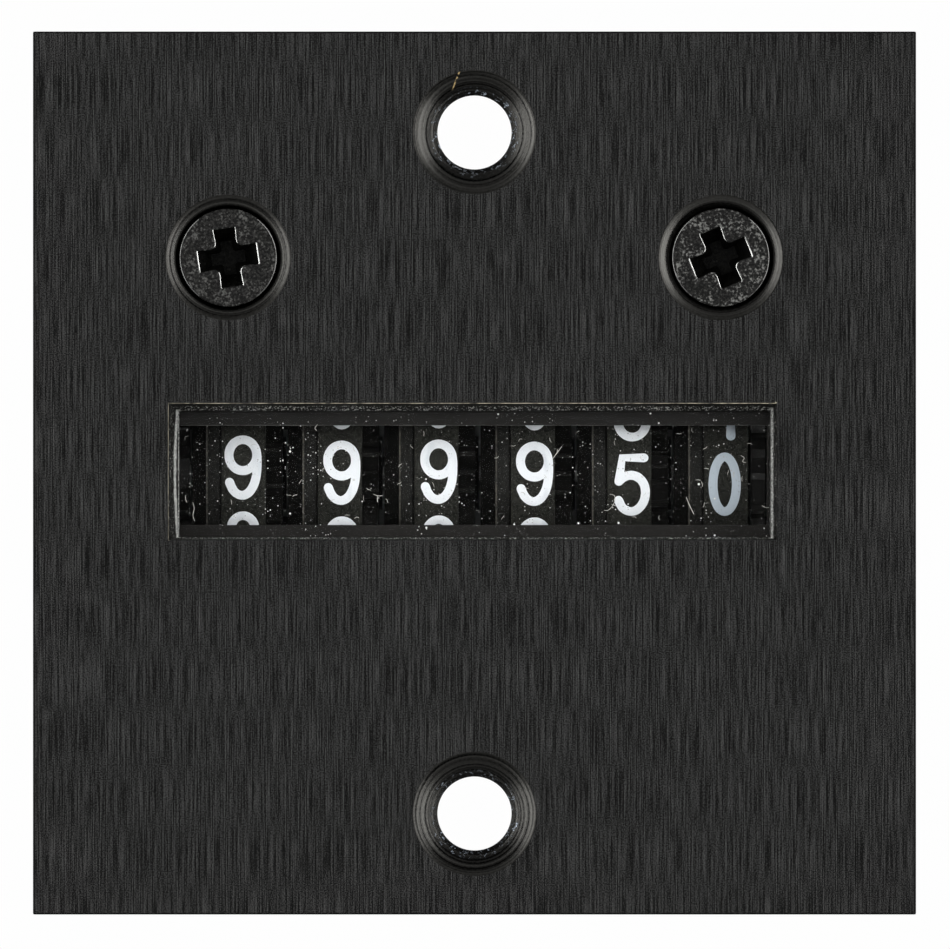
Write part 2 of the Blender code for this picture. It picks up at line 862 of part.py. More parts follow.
def front_case():
    """Moulded case, open at the back, with the pane's recess and the sight opening in its front wall."""
    half = CASE_W / 2
    outer = rounded_rectangle(-half, half, case_bottom(), case_top(), CASE_CORNER_R)
    inner = rounded_rectangle(
        -half + CASE_WALL,
        half - CASE_WALL,
        case_bottom() + CASE_WALL,
        case_top() - CASE_WALL,
        max(CASE_CORNER_R - CASE_WALL, CASE_INNER_R),
    )
    case = prism("front_case", "Y", case_front(), case_rear(), outer)
    cut(case, prism("cavity", "Y", sight_wall_back(), case_rear() + OVERSHOOT, inner))
    wall_top = case_top() - CASE_WALL / 2
    additions = []
    for x in (-SCREW_SPACING / 2, SCREW_SPACING / 2):
        back = plate_screw_tip() + SCREW_BOSS_END
        low = sight_wall_back() - UNION_SINK
        additions.append(cylinder("boss", "Y", low, back, SCREW_BOSS_R, (x, SCREW_Z)))
    for x in (-cover_screw_x(), cover_screw_x()):
        low = cover_screw_tip() - COVER_BOSS_END
        boss = cylinder("boss", "Y", low, case_rear(), COVER_BOSS_R, (x, cover_screw_z()))
        web_half = COVER_BOSS_R * BOSS_WEB_SHARE
        web = box(
            "web",
            (x - web_half, low + UNION_SINK, cover_screw_z()),
            (x + web_half, case_rear() - UNION_SINK, wall_top),
        )
        additions += [boss, web]
    for side in (-1, 1):
        wall = side * (half - CASE_WALL / 2)
        rail = side * (frame_outer_x() + SEAT_GAP)
        for z in (-RAIL_Z, RAIL_Z):
            additions.append(
                box(
                    "rail",
                    (min(wall, rail), sight_wall_back() - UNION_SINK, z - RAIL_H / 2),
                    (max(wall, rail), sight_wall_back() + RAIL_LENGTH, z + RAIL_H / 2),
                )
            )
    join(case, *additions)
    recess = lens_outline(SEAT_GAP)
    sight_left = WINDOW_X - sight_half_w()
    sight_right = WINDOW_X + sight_half_w()
    sight_bottom = WINDOW_Z - WINDOW_H / 2 + SIGHT_BOTTOM_MARGIN
    sight_top = WINDOW_Z + WINDOW_H / 2 - SIGHT_TOP_MARGIN
    sight = [
        (sight_left, sight_bottom),
        (sight_right, sight_bottom),
        (sight_right, sight_top),
        (sight_left, sight_top),
    ]
    tools = [
        prism("recess", "Y", case_front() - OVERSHOOT, lens_back() + SEAT_GAP, recess),
        prism("sight", "Y", case_front(), sight_wall_back() + OVERSHOOT, sight),
    ]
    for x in (-SCREW_SPACING / 2, SCREW_SPACING / 2):
        deep = plate_screw_tip() + SCREW_BOSS_END - CASE_WALL / 2
        hole_r = SCREW_SHANK_R + SEAT_GAP
        tools.append(cylinder("pilot", "Y", case_front() - OVERSHOOT, deep, hole_r, (x, SCREW_Z)))
    for x in (-cover_screw_x(), cover_screw_x()):
        deep = cover_screw_tip() - COVER_BOSS_END + CASE_WALL
        hole_r = COVER_SCREW_SHANK_R + SEAT_GAP
        place = (x, cover_screw_z())
        tools.append(cylinder("pilot", "Y", deep, case_rear() + OVERSHOOT, hole_r, place))
    return dress(cut(case, *tools), "case_moulding")


def window_lens():
    """Clear pane, held in the case's recess by the front plate."""
    return dress(prism("window_lens", "Y", SEAT_GAP, lens_back(), lens_outline(0.0)), "clear_lens")


def rear_cover():
    """Cover with two collars for the blade terminals and ribs that hold the frame in place."""
    half = CASE_W / 2
    outer = rounded_rectangle(-half, half, case_bottom(), case_top(), CASE_CORNER_R)
    inner = rounded_rectangle(
        -half + COVER_EDGE,
        half - COVER_EDGE,
        case_bottom() + COVER_EDGE,
        case_top() - COVER_EDGE,
        CASE_CORNER_R - COVER_EDGE,
    )
    back = cover_back()
    cover = loft(
        "rear_cover",
        "Y",
        [(cover_front(), outer), (back - COVER_EDGE, outer), (back, inner)],
    )
    rib_out = half - CASE_WALL - SEAT_GAP
    rib_front = cover_front() - COVER_RIB_DEPTH
    additions = []
    for side in (-1, 1):
        near = side * frame_inner_x()
        far = side * rib_out
        additions.append(
            box(
                "rib",
                (min(near, far), rib_front, case_bottom() + CASE_WALL + COVER_RIB_H),
                (max(near, far), cover_front() + UNION_SINK, FRAME_TOP - FRAME_STEP_DROP),
            )
        )
        collar = rectangle(
            TERMINAL_W + 2 * SEAT_GAP + 2 * COLLAR_WALL,
            TERMINAL_T + 2 * SEAT_GAP + 2 * COLLAR_WALL,
            (side * TERMINAL_X, terminal_z()),
        )
        additions.append(prism("collar", "Y", back - UNION_SINK, back + COLLAR_H, collar))
    floor = case_bottom() + CASE_WALL + SEAT_GAP
    additions.append(
        box(
            "rib",
            (-cover_screw_x(), rib_front, floor),
            (cover_screw_x(), cover_front() + UNION_SINK, floor + CASE_WALL / 2),
        )
    )
    join(cover, *additions)
    tools = []
    for side in (-1, 1):
        slot = rectangle(
            TERMINAL_W + 2 * SEAT_GAP,
            TERMINAL_T + 2 * SEAT_GAP,
            (side * TERMINAL_X, terminal_z()),
        )
        tools.append(prism("slot", "Y", rib_front - OVERSHOOT, back + COLLAR_H + OVERSHOOT, slot))
        hole_r = COVER_SCREW_SHANK_R + SEAT_GAP
        place = (side * cover_screw_x(), cover_screw_z())
        tools.append(
            cylinder("hole", "Y", cover_front() - OVERSHOOT, back + OVERSHOOT, hole_r, place)
        )
    return dress(cut(cover, *tools), "case_moulding")


def cover_screw(name, x):
    """Round-headed screw that holds the rear cover."""
    seat = cover_back() + SEAT_GAP
    face = seat + COVER_SCREW_HEAD_H
    tip = cover_screw_tip()
    profile = [
        (face, 0.0),
        *(
            (face - COVER_SCREW_HEAD_H * depth, COVER_SCREW_HEAD_R * radius)
            for depth, radius in COVER_SCREW_HEAD_CURVE
        ),
        (seat, COVER_SCREW_HEAD_R),
        (seat, COVER_SCREW_SHANK_R),
        (tip + SCREW_POINT, COVER_SCREW_SHANK_R),
        (tip, COVER_SCREW_SHANK_R - SCREW_POINT),
        (tip, 0.0),
    ]
    screw = turned(name, "Y", (0.0, 0.0), profile, ROUND_SEGMENTS)
    cut(screw, cross_cutter(face, COVER_RECESS_SPAN, COVER_RECESS_WING, COVER_RECESS_DEPTH, -1))
    screw.location = (x, 0.0, cover_screw_z())
    return dress(screw, "zinc_steel")


def wheel_profile():
    """Outer section of a number wheel, from its flange to the right side of its band."""
    flange_left = -band_w() / 2 - FLANGE_W
    groove = -band_w() / 2
    return [
        (flange_left, 0.0),
        (flange_left, WHEEL_R),
        (groove - GROOVE_W / 2, WHEEL_R),
        (groove, WHEEL_R - GROOVE_DEPTH),
        (groove + GROOVE_W / 2, WHEEL_R),
        (band_w() / 2, WHEEL_R),
        (band_w() / 2, 0.0),
    ]


def carry_outline():
    """Outline of a carry disc: a round disc with one notch that holds a pair of teeth."""
    radius = carry_disc_r()
    root = radius - CARRY_NOTCH_DEPTH
    half = CARRY_NOTCH_ANGLE / 2
    points = arc(radius, half, 2 * math.pi - half, CARRY_SEGMENTS)
    step = CARRY_NOTCH_ANGLE / 3
    for k in (-0.5, 0.5):
        middle = k * step
        wide = CARRY_TOOTH_ANGLE
        points += [
            (root * math.cos(middle - wide), root * math.sin(middle - wide)),
            (radius * math.cos(middle - wide / 2), radius * math.sin(middle - wide / 2)),
            (radius * math.cos(middle + wide / 2), radius * math.sin(middle + wide / 2)),
            (root * math.cos(middle + wide), root * math.sin(middle + wide)),
        ]
    return points


def number_wheel(name, order):
    """Number wheel: flange and carry disc on the left, driven gear ring on the right, hub and bore."""
    flange_left = -band_w() / 2 - FLANGE_W
    disc_left = wheel_left()
    hub_end = wheel_right()
    wheel = turned(name, "X", (0.0, 0.0), wheel_profile(), WHEEL_SEGMENTS)
    join(wheel, prism("carry_disc", "X", disc_left, flange_left + UNION_SINK, carry_outline()))
    if order > 0:
        ring_r = pitch_r(RING_TEETH)
        teeth = tooth_outline(RING_TEETH, ring_root_r(), ring_r + ADDENDUM)
        join(wheel, prism("ring", "X", band_w() / 2 - UNION_SINK, band_w() / 2 + GEAR_W, teeth))
    floor = flange_left + FLANGE_WEB
    middle = (0.0, 0.0)
    hollow_r = ring_root_r() - RING_WALL
    cut(wheel, cylinder("hollow", "X", floor, hub_end, hollow_r, middle, BORE_SEGMENTS))
    join(wheel, cylinder("hub", "X", floor - UNION_SINK, hub_end, HUB_R, middle, BORE_SEGMENTS))
    bore_r = SHAFT_R + RUNNING_GAP
    low = disc_left - OVERSHOOT
    cut(wheel, cylinder("bore", "X", low, hub_end + OVERSHOOT, bore_r, middle, BORE_SEGMENTS))
    return dress(wheel, "wheel_plastic")


def place_wheel(wheel, order):
    """Put a wheel on its shaft, turned to the digit it shows."""
    wheel.location = (wheel_x(order), wheel_y(), 0.0)
    wheel.rotation_euler.x = WHEEL_REST_TURN[order]
    return wheel


def ratchet_wheel():
    """Ten-toothed ratchet that turns with the units wheel."""
    points = []
    for i in range(RATCHET_TEETH):
        start = i * 2 * math.pi / RATCHET_TEETH
        pitch = 2 * math.pi / RATCHET_TEETH
        for radius, share in (
            (RATCHET_ROOT_R, 0.0),
            (RATCHET_TIP_R, RATCHET_CREST[0]),
            (RATCHET_TIP_R, RATCHET_CREST[1]),
            (RATCHET_ROOT_R, RATCHET_FALL),
        ):
            angle = start + share * pitch
            points.append((radius * math.cos(angle), radius * math.sin(angle)))
    left = band_w() / 2 + RATCHET_OFFSET
    wheel = prism("ratchet_wheel", "X", left, left + RATCHET_T, points)
    bore = cylinder(
        "bore",
        "X",
        left - OVERSHOOT,
        left + RATCHET_T + OVERSHOOT,
        HUB_R + FIT_GAP,
        (0.0, 0.0),
        BORE_SEGMENTS,
    )
    cut(wheel, bore)
    place_wheel(wheel, 0)
    return dress(wheel, "black_acetal")


def transfer_pinion(name):
    """Pinion with eight teeth under the higher wheel and four long ones beside the lower wheel."""
    tip_r = pinion_tip_r()
    root_r = pitch_r(PINION_TEETH) - DEDENDUM
    low = band_w() / 2 + PINION_PLAY
    step = band_w() / 2 + GEAR_W
    high = wheel_pitch() - band_w() / 2 - FLANGE_W - PINION_PLAY
    full = tooth_outline(PINION_TEETH, root_r, tip_r)
    half = tooth_outline(PINION_TEETH, root_r, tip_r, skip=2)
    pinion = prism(name, "X", low, step, full)
    join(pinion, prism("long_teeth", "X", step - UNION_SINK, high, half))
    bore = cylinder(
        "bore",
        "X",
        low - OVERSHOOT,
        high + OVERSHOOT,
        PINION_SHAFT_R + RUNNING_GAP,
        (0.0, 0.0),
        BORE_SEGMENTS,
    )
    return dress(cut(pinion, bore), "pinion_plastic")


def place_pinion(pinion, order):
    """Put a pinion on its shaft, in mesh with the wheel above the one of this order."""
    y, z = pinion_centre()
    ratio = RING_TEETH / PINION_TEETH
    half_tooth = math.pi / PINION_TEETH
    pinion.location = (wheel_x(order + 1), y, z)
    turn = WHEEL_REST_TURN[order + 1] - PINION_ANGLE
    pinion.rotation_euler.x = PINION_ANGLE + math.pi + half_tooth - ratio * turn
    return pinion


def shaft_end_x():
    """Outer end of the wheel shaft."""
    return frame_outer_x() + SEAT_GAP + CLIP_T + SHAFT_END


def wheel_shaft():
    """Fixed shaft of the number wheels, with a groove for a retaining ring at each end."""
    end = shaft_end_x()
    groove_out = end - SHAFT_END + FIT_GAP
    groove_in = groove_out - CLIP_T - 2 * FIT_GAP
    profile = [(-end, 0.0), (-end, SHAFT_R)]
    for x in (-groove_out, -groove_in):
        steps = ((x, SHAFT_R), (x, CLIP_GROOVE_R))
        profile += steps if x == -groove_out else steps[::-1]
    for x in (groove_in, groove_out):
        steps = ((x, SHAFT_R), (x, CLIP_GROOVE_R))
        profile += steps if x == groove_in else steps[::-1]
    profile += [(end, SHAFT_R), (end, 0.0)]
    return dress(turned("wheel_shaft", "X", (wheel_y(), 0.0), profile, SHAFT_SEGMENTS), "bright_steel")


def bush(name, side, flange_t):
    """Flanged bush in one side of the frame; its flange keeps the wheels in place."""
    inner = frame_inner_x() - SEAT_GAP
    outer = frame_outer_x() + BUSH_PROUD
    flange_end = inner - flange_t
    bore_r = SHAFT_R + RUNNING_GAP
    profile = [
        (side * flange_end, bore_r),
        (side * flange_end, BUSH_FLANGE_R),
        (side * inner, BUSH_FLANGE_R),
        (side * inner, BUSH_BODY_R),
        (side * outer, BUSH_BODY_R),
        (side * outer, bore_r),
    ]
    return dress(turned(name, "X", (wheel_y(), 0.0), profile, BORE_SEGMENTS), "black_acetal")


def shaft_clip(name, side):
    """Open retaining ring in the groove of the wheel shaft."""
    low = frame_outer_x() + SEAT_GAP
    half = CLIP_OPENING / 2
    centre = (wheel_y(), 0.0)
    start = -math.pi / 2 + half
    end = 3 * math.pi / 2 - half
    outline = arc(CLIP_OUTER_R, start, end, 16, centre)
    outline += arc(CLIP_GROOVE_R + FIT_GAP, end, start, 12, centre)
    ends = sorted((side * low, side * (low + CLIP_T)))
    return dress(prism(name, "X", ends[0], ends[1], outline), "zinc_steel")


def pinion_shaft():
    """Fixed shaft of the transfer pinions, upset at both ends."""
    side = frame_outer_x() + FIT_GAP
    end = side + PINION_HEAD_T
    profile = [
        (-end, 0.0),
        (-end, PINION_HEAD_R),
        (-side, PINION_HEAD_R),
        (-side, PINION_SHAFT_R),
        (side, PINION_SHAFT_R),
        (side, PINION_HEAD_R),
        (end, PINION_HEAD_R),
        (end, 0.0),
    ]
    return dress(turned("pinion_shaft", "X", pinion_centre(), profile, SHAFT_SEGMENTS), "bright_steel")


def mechanism_frame():
    """Sheet bent to a U: two side plates on a bottom web, with a stop tab for the armature."""
    bottom = frame_bottom()
    front = sight_wall_back() + FRAME_FRONT_ROOM
    rear = frame_rear()
    web_rear = armature_front() - SEAT_GAP
    step = FRAME_TOP - FRAME_STEP_DROP
    step_y = rear - FRAME_STEP_L
    low_edge = YOKE_BOTTOM - FRAME_T
    outline = [
        (front, FRAME_TOP - FRAME_T),
        (front, YOKE_BOTTOM),
        (front + FRAME_NOSE_SLOPE, bottom),
        (web_rear, bottom),
        (step_y, low_edge),
        (rear, low_edge),
        (rear, step),
        (step_y, step),
        (step_y - FRAME_STEP_DROP, FRAME_TOP),
        (front + FRAME_T, FRAME_TOP),
    ]
    inner = frame_inner_x()
    outer = frame_outer_x()
    frame = prism("mechanism_frame", "X", -outer, outer, outline)
    cut(
        frame,
        box(
            "inside",
            (-inner, front - OVERSHOOT, bottom + FRAME_T),
            (inner, rear + OVERSHOOT, FRAME_TOP + OVERSHOOT),
        ),
    )
    tab = box(
        "stop_tab",
        (-STOP_TAB_W / 2, tab_front(), bottom + FRAME_T / 2),
        (STOP_TAB_W / 2, web_rear, ARMATURE_BOTTOM + STOP_TAB_OVERLAP),
    )
    join(frame, tab)
    slot_low = yoke_front() - SEAT_GAP
    y, z = pinion_centre()
    tools = [
        cylinder(
            "bush_hole", "X", -outer - OVERSHOOT, outer + OVERSHOOT, BUSH_BODY_R + FIT_GAP, (wheel_y(), 0.0)
        ),
        cylinder(
            "pinion_hole", "X", -outer - OVERSHOOT, outer + OVERSHOOT, PINION_SHAFT_R + FIT_GAP, (y, z)
        ),
        box(
            "yoke_slot",
            (-outer - OVERSHOOT, slot_low, -YOKE_TAB_H / 2 - SEAT_GAP),
            (outer + OVERSHOOT, yoke_rear() + SEAT_GAP, YOKE_TAB_H / 2 + SEAT_GAP),
        ),
    ]
    return dress(cut(frame, *tools), "zinc_steel")


def armature():
    """Armature plate with its hinge barrel, the verge's arm and the spring's tail."""
    front = armature_front()
    back = front + ARMATURE_T
    plate = box(
        "armature",
        (-ARMATURE_W / 2, front, ARMATURE_BOTTOM),
        (ARMATURE_W / 2, back, HINGE_Z),
    )
    half_barrel = BARREL_W / 2
    barrel = cylinder("barrel", "X", -half_barrel, half_barrel, BARREL_R, hinge())
    arm = box(
        "arm",
        (ARMATURE_W / 2 - UNION_SINK, front, arm_top() - ARM_H),
        (arm_end_x(), back, arm_top()),
    )
    tail = box(
        "tail",
        (TAIL_X - TAIL_W / 2, hinge_y() - ANCHOR_T / 2, HINGE_Z),
        (TAIL_X + TAIL_W / 2, hinge_y() + ANCHOR_T / 2, tail_top()),
    )
    join(plate, barrel, arm, tail)
    tools = [
        cylinder(
            "pin_hole",
            "X",
            -BARREL_W,
            BARREL_W,
            PIN_R + RUNNING_GAP,
            hinge(),
            BORE_SEGMENTS,
        ),
        cylinder(
            "rivet_hole",
            "Y",
            front - OVERSHOOT,
            back + OVERSHOOT,
            RIVET_R + FIT_GAP,
            rivet_place(),
            SMALL_SEGMENTS,
        ),
        cylinder(
            "spring_hole",
            "Y",
            front - OVERSHOOT,
            back + OVERSHOOT,
            SPRING_HOLE_R,
            (TAIL_X, spring_z()),
            SMALL_SEGMENTS,
        ),
    ]
    cut(plate, *tools)
    set_origin(plate, (0.0, *hinge()))
    return dress(plate, "zinc_steel")


def armature_pin():
    """Hinge pin of the armature, held in the yoke's two lugs."""
    side = yoke_w() / 2 + FIT_GAP
    end = side + PIN_HEAD_T
    profile = [
        (-end, 0.0),
        (-end, PIN_HEAD_R),
        (-side, PIN_HEAD_R),
        (-side, PIN_R),
        (end, PIN_R),
        (end, 0.0),
    ]
    pin = turned("armature_pin", "X", hinge(), profile, SHAFT_SEGMENTS)
    return dress(pin, "bright_steel")


def verge():
    """Anchor with an entry and an exit pallet beside the ratchet, and a foot on the armature's arm."""
    left = verge_left()
    right = left + RATCHET_T
    foot_back = armature_front() - FIT_GAP
    foot_top = arm_top()
    foot_bottom = foot_top - ARM_H
    foot_front = foot_back - FOOT_T
    entry_r = RATCHET_TIP_R + VERGE_CLEARANCE + VERGE_LIFT
    exit_r = RATCHET_TIP_R + VERGE_CLEARANCE

    def polar(radius, angle):
        return (wheel_y() + radius * math.cos(angle), radius * math.sin(angle))

    entry_turn = PALLET_W / entry_r
    exit_turn = PALLET_W / exit_r
    outline = [(foot_back, foot_bottom), (foot_back, foot_top)]
    for out, turn in ENTRY_CORNERS:
        outline.append(polar(entry_r + out * PALLET_W, ENTRY_ANGLE + turn * entry_turn))
    outline.append(polar(exit_r + VERGE_BRIDGE, (ENTRY_ANGLE + EXIT_ANGLE) / 2))
    for out, turn in EXIT_CORNERS:
        outline.append(polar(exit_r + out * PALLET_W, EXIT_ANGLE + turn * exit_turn))
    plate = prism("verge", "X", left, right, outline)
    foot = box(
        "foot",
        (right - FOOT_W, foot_front, foot_bottom),
        (right, foot_back, foot_top),
    )
    join(plate, foot)
    hole = cylinder(
        "rivet_hole",
        "Y",
        foot_front - OVERSHOOT,
        foot_back + OVERSHOOT,
        RIVET_R + FIT_GAP,
        rivet_place(),
        SMALL_SEGMENTS,
    )
    cut(plate, hole)
    set_origin(plate, (0.0, *hinge()))
    return dress(plate, "pinion_plastic")


def verge_rivet():
    """Rivet through the verge's foot and the armature's arm."""
    front = armature_front() - FIT_GAP - FOOT_T - FIT_GAP
    back = armature_front() + ARMATURE_T + FIT_GAP
    profile = [
        (front - RIVET_HEAD_T, 0.0),
        (front - RIVET_HEAD_T, RIVET_HEAD_TOP_R),
        (front, RIVET_HEAD_R),
        (front, RIVET_R),
        (back, RIVET_R),
        (back, RIVET_HEAD_R),
        (back + RIVET_HEAD_T, RIVET_HEAD_TOP_R),
        (back + RIVET_HEAD_T, 0.0),
    ]
    rivet = turned("verge_rivet", "Y", rivet_place(), profile, SMALL_SEGMENTS)
    set_origin(rivet, (0.0, *hinge()))
    return dress(rivet, "brass")


def spring_path():
    """Points of the return spring's wire, from the armature's tail to the yoke's anchor."""
    tail_front = hinge_y() - ANCHOR_T / 2 - SEAT_GAP
    tail_back = hinge_y() + ANCHOR_T / 2 + SEAT_GAP
    anchor_front = anchor_y() - SEAT_GAP
    anchor_back = anchor_y() + ANCHOR_T + SEAT_GAP
    lead = 2 * SPRING_COIL_R
    start = tail_back + lead
    end = anchor_front - lead
    points = [
        Vector((TAIL_X, tail_front - SPRING_WIRE_R, spring_z() - SPRING_TAIL)),
        Vector((TAIL_X, tail_front - SPRING_WIRE_R, spring_z())),
        Vector((TAIL_X, tail_back, spring_z())),
        Vector((TAIL_X, start - lead / 2, spring_z())),
    ]
    total = SPRING_TURNS * SPRING_STEPS
    for i in range(total + 1):
        angle = 2 * math.pi * i / SPRING_STEPS
        y = start + (end - start) * i / total
        x = TAIL_X + SPRING_COIL_R * math.sin(angle)
        z = spring_z() + SPRING_COIL_R * math.cos(angle)
        points.append(Vector((x, y, z)))
    points += [
        Vector((TAIL_X, end + lead / 2, spring_z())),
        Vector((TAIL_X, anchor_front, spring_z())),
        Vector((TAIL_X, anchor_back + SPRING_WIRE_R, spring_z())),
        Vector((TAIL_X, anchor_back + SPRING_WIRE_R, spring_z() - SPRING_TAIL)),
    ]
    return points


def return_spring():
    """Tension spring hooked between the armature's tail and the yoke's anchor."""
    curve = bpy.data.curves.new("return_spring", "CURVE")
    curve.dimensions = "3D"
    line = curve.splines.new("POLY")
    points = spring_path()
    line.points.add(len(points) - 1)
    for target, point in zip(line.points, points):
        target.co = (point.x, point.y, point.z, 1.0)
    curve.bevel_depth = SPRING_WIRE_R
    curve.bevel_resolution = 0
    curve.use_fill_caps = True
    spring = bpy.data.objects.new("return_spring", curve)
    bpy.context.scene.collection.objects.link(spring)
    curve.materials.append(finish_material("bright_steel"))
    return spring


def magnet_yoke():
    """Bent yoke: back plate with side tabs, top arm with hinge lugs, and the spring's anchor."""
    back_front = yoke_front()
    arm_front = hinge_y() + BARREL_R + SEAT_GAP
    half = yoke_w() / 2
    wing = frame_inner_x() - SEAT_GAP
    tab = frame_outer_x() + SEAT_GAP
    outline = [
        (-half, YOKE_BOTTOM),
        (half, YOKE_BOTTOM),
        (half, -YOKE_WING_H / 2),
        (wing, -YOKE_WING_H / 2),
        (wing, -YOKE_TAB_H / 2),
        (tab, -YOKE_TAB_H / 2),
        (tab, YOKE_TAB_H / 2),
        (wing, YOKE_TAB_H / 2),
        (wing, YOKE_WING_H / 2),
        (half, YOKE_WING_H / 2),
        (half, yoke_top()),
        (-half, yoke_top()),
        (-half, YOKE_WING_H / 2),
        (-wing, YOKE_WING_H / 2),
        (-wing, YOKE_TAB_H / 2),
        (-tab, YOKE_TAB_H / 2),
        (-tab, -YOKE_TAB_H / 2),
        (-wing, -YOKE_TAB_H / 2),
        (-wing, -YOKE_WING_H / 2),
        (-half, -YOKE_WING_H / 2),
    ]
    yoke = prism("magnet_yoke", "Y", back_front, yoke_rear(), outline)
    top = box(
        "top_arm",
        (-half, arm_front, yoke_top() - YOKE_T),
        (half, back_front + UNION_SINK, yoke_top() - UNION_SINK / 10),
    )
    additions = [top]
    for side in (-1, 1):
        ends = sorted((side * half, side * (half - YOKE_LUG_T)))
        lug = arc(YOKE_LUG_R, math.pi / 2, 3 * math.pi / 2, LUG_SEGMENTS, hinge())
        lug += [
            (arm_front + OVERSHOOT, HINGE_Z - YOKE_LUG_R),
            (arm_front + OVERSHOOT, HINGE_Z + YOKE_LUG_R),
        ]
        additions.append(prism("lug", "X", ends[0], ends[1], lug))
    additions.append(
        box(
            "anchor",
            (TAIL_X - TAIL_W / 2, anchor_y(), yoke_top() - YOKE_T / 2),
            (TAIL_X + TAIL_W / 2, anchor_y() + ANCHOR_T, tail_top()),
        )
    )
    join(yoke, *additions)
    tools = [
        cylinder(
            "pin_hole",
            "X",
            -yoke_w(),
            yoke_w(),
            PIN_R + RUNNING_GAP,
            hinge(),
            BORE_SEGMENTS,
        ),
        cylinder(
            "spring_hole",
            "Y",
            anchor_y() - OVERSHOOT,
            anchor_y() + ANCHOR_T + OVERSHOOT,
            SPRING_HOLE_R,
            (TAIL_X, spring_z()),
            SMALL_SEGMENTS,
        ),
        cylinder(
            "core_hole",
            "Y",
            back_front - OVERSHOOT,
            yoke_rear() + OVERSHOOT,
            CORE_NECK_R + FIT_GAP,
            (0.0, 0.0),
        ),
    ]
    return dress(cut(yoke, *tools), "zinc_steel")


def magnet_core():
    """Turned core: pole, neck through the yoke and the head that was riveted over it."""
    back_front = yoke_front()
    head = yoke_rear() + SEAT_GAP
    profile = [
        (pole_face(), 0.0),
        (pole_face(), CORE_R),
        (back_front - SEAT_GAP, CORE_R),
        (back_front - SEAT_GAP, CORE_NECK_R),
        (head, CORE_NECK_R),
        (head, CORE_HEAD_R),
        (head + CORE_HEAD_T / 2, CORE_HEAD_R),
        (head + CORE_HEAD_T, CORE_HEAD_R - CORE_HEAD_T / 2),
        (head + CORE_HEAD_T, 0.0),
    ]
    return dress(turned("magnet_core", "Y", (0.0, 0.0), profile), "bright_steel")


def coil_bobbin():
    """Moulded bobbin: barrel, front flange and a deeper rear flange that carries the terminals."""
    front = bobbin_front()
    back = bobbin_back()
    foot = terminal_z() - TERMINAL_T / 2 - BOBBIN_FOOT_COVER
    barrel_r = CORE_R + SEAT_GAP + BOBBIN_BARREL_T
    half_h = bobbin_half_h()
    barrel = cylinder("coil_bobbin", "Y", front, back, barrel_r, (0.0, 0.0))
    front_outline = rounded_rectangle(
        -BOBBIN_W / 2, BOBBIN_W / 2, -half_h, half_h, BOBBIN_CORNER_R
    )
    rear_outline = rounded_rectangle(
        -BOBBIN_REAR_W / 2, BOBBIN_REAR_W / 2, foot, half_h, BOBBIN_CORNER_R
    )
    join(
        barrel,
        prism("flange", "Y", front - FIT_GAP, front + BOBBIN_FLANGE_T, front_outline),
        prism("flange", "Y", back - BOBBIN_FLANGE_T, back + FIT_GAP, rear_outline),
    )
    tools = [
        cylinder(
            "bore",
            "Y",
            front - OVERSHOOT,
            back + OVERSHOOT,
            CORE_R + SEAT_GAP,
            (0.0, 0.0),
        )
    ]
    for side in (-1, 1):
        slot = rectangle(
            TERMINAL_W + 2 * FIT_GAP,
            TERMINAL_T + 2 * FIT_GAP,
            (side * TERMINAL_X, terminal_z()),
        )
        tools.append(
            prism("slot", "Y", back - BOBBIN_FLANGE_T - OVERSHOOT, back + OVERSHOOT, slot)
        )
    return dress(cut(barrel, *tools), "bobbin_plastic")


def coil_winding():
    """Copper winding as one round body between the bobbin's flanges."""
    front = bobbin_front() + BOBBIN_FLANGE_T + SEAT_GAP
    back = bobbin_back() - BOBBIN_FLANGE_T - SEAT_GAP
    inner = CORE_R + SEAT_GAP + BOBBIN_BARREL_T + SEAT_GAP
    outer = bobbin_half_h() - WINDING_INSET
    profile = [(front, inner), (front, outer), (back, outer), (back, inner)]
    return dress(turned("coil_winding", "Y", (0.0, 0.0), profile), "copper_winding")


def terminal(name, side):
    """Blade terminal: shoulders inside the cover, then a thinner blade with an eye and a tapered end."""
    half = TERMINAL_W / 2
    shoulder = TERMINAL_SHOULDER_W / 2
    shoulder_back = cover_front() - SEAT_GAP
    shoulder_front = shoulder_back - TERMINAL_SHOULDER_L
    middle = side * TERMINAL_X
    end = cover_back() + TERMINAL_OUTSIDE
    right = [
        (half, bobbin_back() - BOBBIN_FLANGE_T - TERMINAL_INSIDE),
        (half, shoulder_front),
        (shoulder, shoulder_front),
        (shoulder, shoulder_back),
        (half, shoulder_back),
        (half, end - TERMINAL_POINT),
        (half - TERMINAL_POINT, end),
    ]
    outline = [(middle + u, v) for u, v in right]
    outline += [(middle - u, v) for u, v in reversed(right)]
    low = terminal_z() - TERMINAL_T / 2
    high = terminal_z() + TERMINAL_T / 2
    blade = prism(name, "Z", low, high, outline)
    root_end = cover_back() + COLLAR_H + TERMINAL_ROOT_L
    coining = []
    for near, far in ((low, -TERMINAL_BLADE_T / 2), (high, TERMINAL_BLADE_T / 2)):
        face = terminal_z() + far
        outside = near + math.copysign(OVERSHOOT, far)
        coining.append(
            box(
                "coining",
                (middle - TERMINAL_W, root_end, min(face, outside)),
                (middle + TERMINAL_W, end + OVERSHOOT, max(face, outside)),
            )
        )
    eye = cylinder(
        "eye",
        "Z",
        low - OVERSHOOT,
        high + OVERSHOOT,
        TERMINAL_EYE_R,
        (middle, end - TERMINAL_EYE_INSET),
        SHAFT_SEGMENTS,
    )
    return dress(cut(blade, eye, *coining), "brass")


def parent_to(obj, holder):
    """Parent a piece to an empty and leave it where it is."""
    bpy.context.view_layer.update()
    obj.parent = holder
    obj.matrix_parent_inverse = holder.matrix_world.inverted()


